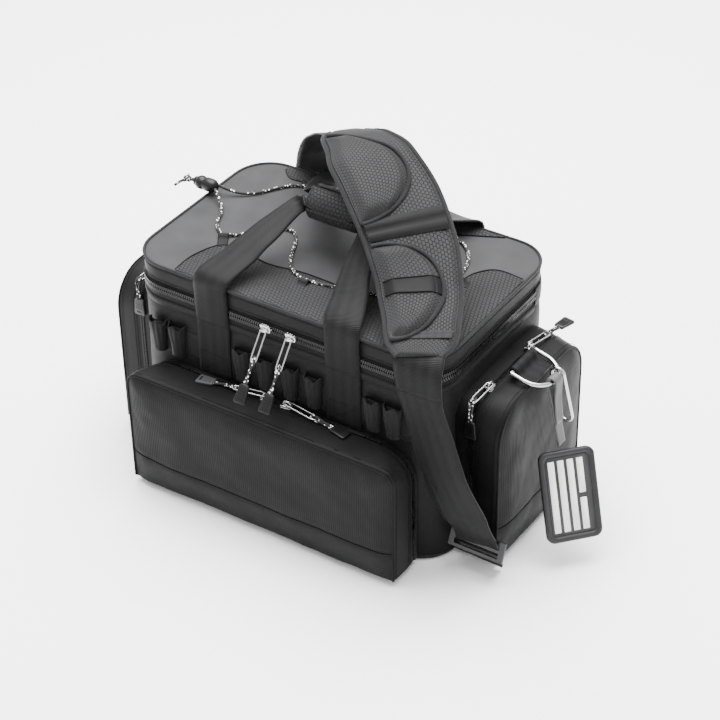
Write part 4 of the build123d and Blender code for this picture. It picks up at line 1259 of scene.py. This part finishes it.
def tab_piece(name, body, place, material):
    """Moulded tab: tapered, with four raised ribs and a near-black block near its end that paints the shade
    of its slot.
    """
    outline = ((0, -5.2), (1.5, -6.6), (22, -8.4), (24, -6.8), (24, 6.8), (22, 8.4), (1.5, 6.6), (0, 5.2))
    rows = []
    for height, inset in ((-1.8, 1.1), (-1.3, 0.2), (1.3, 0.2), (1.8, 1.1)):
        rows.append([place @ Vector((12 + (x - 12) * (1 - inset / 12), y * (1 - inset / 8), height))
                     for x, y in outline])
    plate = grid(name, rows, material, closed=True, caps=(0, 1))
    edge = plate.modifiers.new("edge", "BEVEL")
    edge.width = 0.5 * MM
    edge.segments = 2
    settle(plate, body, "moulded_plastic")
    ribs = [place @ Matrix.Translation((x, 0, 1.9)) for x in (5, 8, 11, 14)]
    ribs += [place @ Matrix.Translation((x, 0, -1.9)) for x in (5, 8, 11, 14)]
    raised = boxes(f"{name}_ribs", ribs, (1.3, 9.5, 0.9), material)
    settle(raised, body, "moulded_plastic")
    # Near-black block filling the slot: painted shade of the hole.
    slot_shade_block = boxes(f"{name}_slot_shade", [place @ Matrix.Translation((19, 0, 0))], (2.6, 7.5, 3.75), THREAD)
    settle(slot_shade_block, body, "moulded_plastic")


def pull_piece(node, body, place, wire, cord, bent=False, tab_material=None):
    """Bent wire loop, doubled flecked cord and moulded tab."""
    half = 3.6
    loop = [(0, -half, 0), (wire * 0.3, -half - 0.3, 0), (wire - 4, -half, 0), (wire, 0, 0),
            (wire - 4, half, 0),
            (wire * 0.3, half + 0.3, 0), (0, half, 0), (-1.2, 0, 0)]
    line = smooth_line([place @ Vector(spot) for spot in loop], 2.0, closed=True)
    ring = tube(f"{node}_wire", line[:-1], 1.1, CHROME, closed=True)
    settle(ring, body, "zip_metal", node)
    if bent:
        corner = wire + 2.8
        drop = cord
        path = [(wire - 6, 1.6, 1.4), (wire + 0.5, 2.4, 1.6), (corner, 2.6, -4), (corner, 1.2, -drop * 0.5),
                (corner, 2.2, -drop - 1), (corner, 0, -drop - 3), (corner, -2.2, -drop - 1),
                (corner, -1.2, -drop * 0.5), (corner, -2.6, -4), (wire + 0.5, -2.4, 1.6),
                (wire - 6, -1.6, 1.4), (wire - 8, 0, 1.0)]
        tab_place = place @ Matrix.Translation((corner, 0, -drop - 0.2))
        tab_place = tab_place @ Matrix.Rotation(math.pi / 2, 4, "Y")
    else:
        start = wire - 6
        end = wire + cord + 3
        path = [(start, 1.8, 1.2), (wire + 2, 2.6, 0.6), (wire + cord * 0.5, -0.6, 1.4), (end - 2, 2.4, 0),
                (end, 0, 0), (end - 2, -2.4, 0), (wire + cord * 0.5, 0.6, -1.4), (wire + 2, -2.6, -0.6),
                (start, -1.8, -1.2), (start - 1.6, 0, 0)]
        tab_place = place @ Matrix.Translation((wire + cord + 1.5, 0, 0))
    strand = tube(f"{node}_cord", [place @ Vector(spot) for spot in path], 1.5, CORD, closed=True)
    settle(strand, body, "flecked_cord")
    tab_piece(f"{node}_tab", body, tab_place, tab_material or MOULDED)


def build_zip_pulls():
    """Sliders and pulls of the main zip and of the pocket zips."""
    face_y = -HALF_Y - 0.3
    for side, x in (("left", -15.0), ("right", 21.0)):
        slider_piece(f"main_slider_{side}_cast", f"main_zip_{side}",
                     Matrix.Translation((x, face_y, SPLIT_Z - 0.3)) @ Matrix.Rotation(math.pi / 2, 4, "X"))
        place = Matrix.Translation((x, face_y - 7, SPLIT_Z - 0.3)) @ Matrix.Rotation(-math.pi / 2, 4, "Z")
        place = place @ rotation(52, "Y")
        pull_piece(f"main_pull_{side}", f"main_zip_{side}_pull", place, 40.0, 26.0)
    top = node_span("front_pocket_shell")[1].z + 0.3
    seam_y = -HALF_Y - 9.3
    for side, x, heading, tab in (("left", -14.0, 187.0, PALE_TAB), ("right", 16.0, -7.0, None)):
        slider_piece(f"front_pocket_slider_{side}_cast", f"front_pocket_zip_{side}",
                     Matrix.Translation((x, seam_y, top)))
        place = Matrix.Translation((x, seam_y, top + 7)) @ rotation(heading, "Z")
        place = place @ rotation(2.5, "Y")
        pull_piece(f"front_pocket_pull_{side}", f"front_pocket_zip_{side}_pull", place, 46.0, 24.0,
                   tab_material=tab)
    top = node_span("right_pocket_shell")[1].z + 0.3
    for name, side, y in (("right_front", 1, -54.0), ("right_rear", 1, 40.0), ("left_front", -1, -54.0)):
        seam_x = side * (HALF_X + 22.3)
        slider_piece(f"{name}_slider_cast", f"{name}_zip",
                     Matrix.Translation((seam_x, y, top)) @ Matrix.Rotation(math.pi / 2, 4, "Z"))
        place = Matrix.Translation((seam_x, y, top + 7))
        if name == "right_rear":
            place = place @ rotation(80, "Z") @ rotation(3, "Y")
            pull_piece(f"{name}_pull", f"{name}_zip_pull", place, 36.0, 16.0)
        else:
            pull_piece(f"{name}_pull", f"{name}_zip_pull", place @ Matrix.Rotation(-math.pi / 2, 4, "Z"),
                       42.0, 27.0,
                       bent=True, tab_material=PALE_TAB if side < 0 else None)


# ---------------------------------------------------------------- ring and name tag

RING_BAR = Vector((256.0, 0.0, 240.0))
STRAP_HANG = Vector((298.08, 0.0, 228.73))
TAG_WIDTH = 70.0
TAG_HEIGHT = 112.0


def rounded_plate(width, height, corner, count=64):
    """Points round a plate that stands in the YZ plane, as (y, z)."""
    points = []
    for side_y, side_z, start in ((1, 1, 0), (-1, 1, 90), (-1, -1, 180), (1, -1, 270)):
        for step in range(count // 4):
            angle = math.radians(start + 90 * step / (count // 4 - 1))
            points.append((side_y * (width / 2 - corner) + corner * math.cos(angle),
                           side_z * (height / 2 - corner) + corner * math.sin(angle)))
    return points


def build_ring_and_tag():
    """Webbing tab of the ring, tag strap, silicone frame and the card with its blank fields."""
    profile = ((26, -10.2), (11, -8.2), (5.5, -4.0), (3.6, 1.5), (0.5, 4.4), (-3.2, 3.2), (-4.2, -1.0),
               (-1.0, -4.4),
               (5, -6.6), (14, -9.4))
    stations = [(RING_BAR + Vector((x, 0, z)), (0, 1, 0), 48) for x, z in profile]
    tab = band("ring_tab", stations, 1.8, WEBBING, step=2.5)
    settle(tab, "pocket_right", "webbing", "d_ring_tab")
    loop = [(8.5, -60), (5.6, -26), (6.2, -6), (5.2, 3.0), (0, 6.2), (-5.2, 3.0), (-5.6, -5), (0.6, -26),
            (6.4, -60),
            (12, -91)]
    stations = [(STRAP_HANG + Vector((x * 1.0, 0.03 * -z, z)), (0.05, 1, 0), 15) for x, z in loop]
    strap = band("tag_strap_loop", stations, 1.8, PALE_SILICONE, step=3.0, columns=6)
    settle(strap, "tag", "silicone", "tag_strap")
    place = Matrix.Translation(STRAP_HANG + Vector((21.5, -6,
                                                    -90.4))) @ rotation(-42, "Z")
    place = place @ rotation(-26, "Y") @ Matrix.Translation((0, 0, -TAG_HEIGHT / 2))
    rows = []
    for out, inset, corner in ((-3.2, 3, 8), (-4, 5, 7), (-4, 1.2, 9.5), (-2.4, 0, 10), (2.2, 0, 10),
                               (3.8, 1.2, 9.4),
                               (4.2, 3.2, 8.2), (3.6, 5.4, 7), (1.6, 7.2, 6), (1.0, 8.2, 5.4)):
        rows.append([place @ Vector((out, y, z)) for y, z in
                     rounded_plate(TAG_WIDTH - 2 * inset, TAG_HEIGHT - 2 * inset, corner)])
    rim = grid("tag_rim", rows[2:], SILICONE, closed=True, caps=(0,))
    settle(rim, "tag", "silicone", "tag_frame")
    inner = rounded_plate(TAG_WIDTH - 15, TAG_HEIGHT - 15, 6)
    card = grid("tag_card_face", [[place @ Vector((1.5, y, z)) for y, z in inner],
                                  [place @ Vector((2.0, y * 0.99, z * 0.995)) for y, z in inner]],
                DARK_CARD, closed=True, caps=(1,))
    settle(card, "tag", "tag_card", "tag_card")
    fields = [(-20.5, 0, 88), (-8.5, 0, 88), (3.5, 0, 88), (15.5, 22.5, 43), (15.5, -24.5, 39)]
    for index, (y, z, length) in enumerate(fields):
        outline = rounded_plate(8.0, length, 0.8, 16)
        field = grid(f"tag_field_{index + 1}",
                     [[place @ Vector((out, y + dy, z + dz)) for dy, dz in outline] for out in (1.9, 2.25)],
                     PAPER, closed=True, caps=(1,))
        settle(field, "tag", "tag_card")


# ---------------------------------------------------------------- CAD pieces that stay

def finish_cad():
    """Finishes on the CAD pieces whose own shape is right."""
    kept = {"d_ring": CHROME, "snap_hook": CHROME, "snap_hook_gate": CHROME,
            "front_strap_buckle": GREY_METAL,
            "rear_strap_buckle": GREY_METAL}
    for name, material in kept.items():
        piece = nodes[name]
        piece.data.materials.clear()
        piece.data.materials.append(material)
        if "buckle" in name:
            edge = piece.modifiers.new("edge", "BEVEL")
            edge.width = 0.6 * MM
            edge.segments = 2
            edge.limit_method = "ANGLE"


# ---------------------------------------------------------------- camera, light and floor

CAMERA_AZIMUTH = 33.62
CAMERA_ELEVATION = 35.76
CAMERA_DISTANCE = 2730.5
CAMERA_TARGET = (21.5, 4.6, 150.0)
CAMERA_ROLL = -1.07
CAMERA_LENS = 108.9


def build_stage():
    """Camera, soft lights and a pale floor."""
    azimuth = math.radians(CAMERA_AZIMUTH)
    elevation = math.radians(CAMERA_ELEVATION)
    back = Vector((math.sin(azimuth) * math.cos(elevation), -math.cos(azimuth) * math.cos(elevation),
                   math.sin(elevation)))
    lens = bpy.data.cameras.new("camera")
    lens.lens = CAMERA_LENS
    lens.clip_end = 50
    camera = bpy.data.objects.new("camera", lens)
    bpy.context.scene.collection.objects.link(camera)
    aim = (-back).to_track_quat("-Z", "Y").to_matrix().to_4x4() @ rotation(CAMERA_ROLL, "Z")
    camera.matrix_world = Matrix.Translation((Vector(CAMERA_TARGET) + back * CAMERA_DISTANCE) * MM) @ aim
    bpy.context.scene.camera = camera

    bpy.ops.mesh.primitive_plane_add(size=12, location=(0, 0, -0.0005))
    floor = bpy.context.object
    floor.name = "floor"
    paint, tree, shader = new_material("floor_paint")
    grain = add(tree, "ShaderNodeTexNoise", {"Scale": 3.0})
    tint = add(tree, "ShaderNodeMapRange", {0: grain.outputs[0], 3: 0.97, 4: 0.98})
    tree.links.new(tint.outputs[0], shader.inputs["Base Color"])
    shader.inputs["Roughness"].default_value = 0.9
    floor.data.materials.append(paint)

    world = bpy.data.worlds.new("studio")
    world.use_nodes = True
    sky = world.node_tree.nodes["Background"]
    sky.inputs[0].default_value = (1, 1, 1, 1)
    sky.inputs[1].default_value = 1.5
    bpy.context.scene.world = world
    for name, spot, size, power in (("top_light", (-0.3, 0.5, 2.6), 2.6, 420),
                                    ("front_light", (-1.6, -2.2, 1.6), 1.2, 3),
                                    ("right_light", (2.4, -0.6, 1.3), 0.8, 3)):
        lamp = bpy.data.lights.new(name, "AREA")
        lamp.size = size
        lamp.energy = power
        light = bpy.data.objects.new(name, lamp)
        light.location = spot
        light.rotation_euler = (Vector((0, 0, 0.2)) - Vector(spot)).to_track_quat("-Z", "Y").to_euler()
        bpy.context.scene.collection.objects.link(light)


build_stage()
build_lacing()
build_body()
build_lid()
build_zip()
build_pockets()
build_tool_loops()
build_handles()
build_strap()
build_zip_pulls()
build_ring_and_tag()
finish_cad()
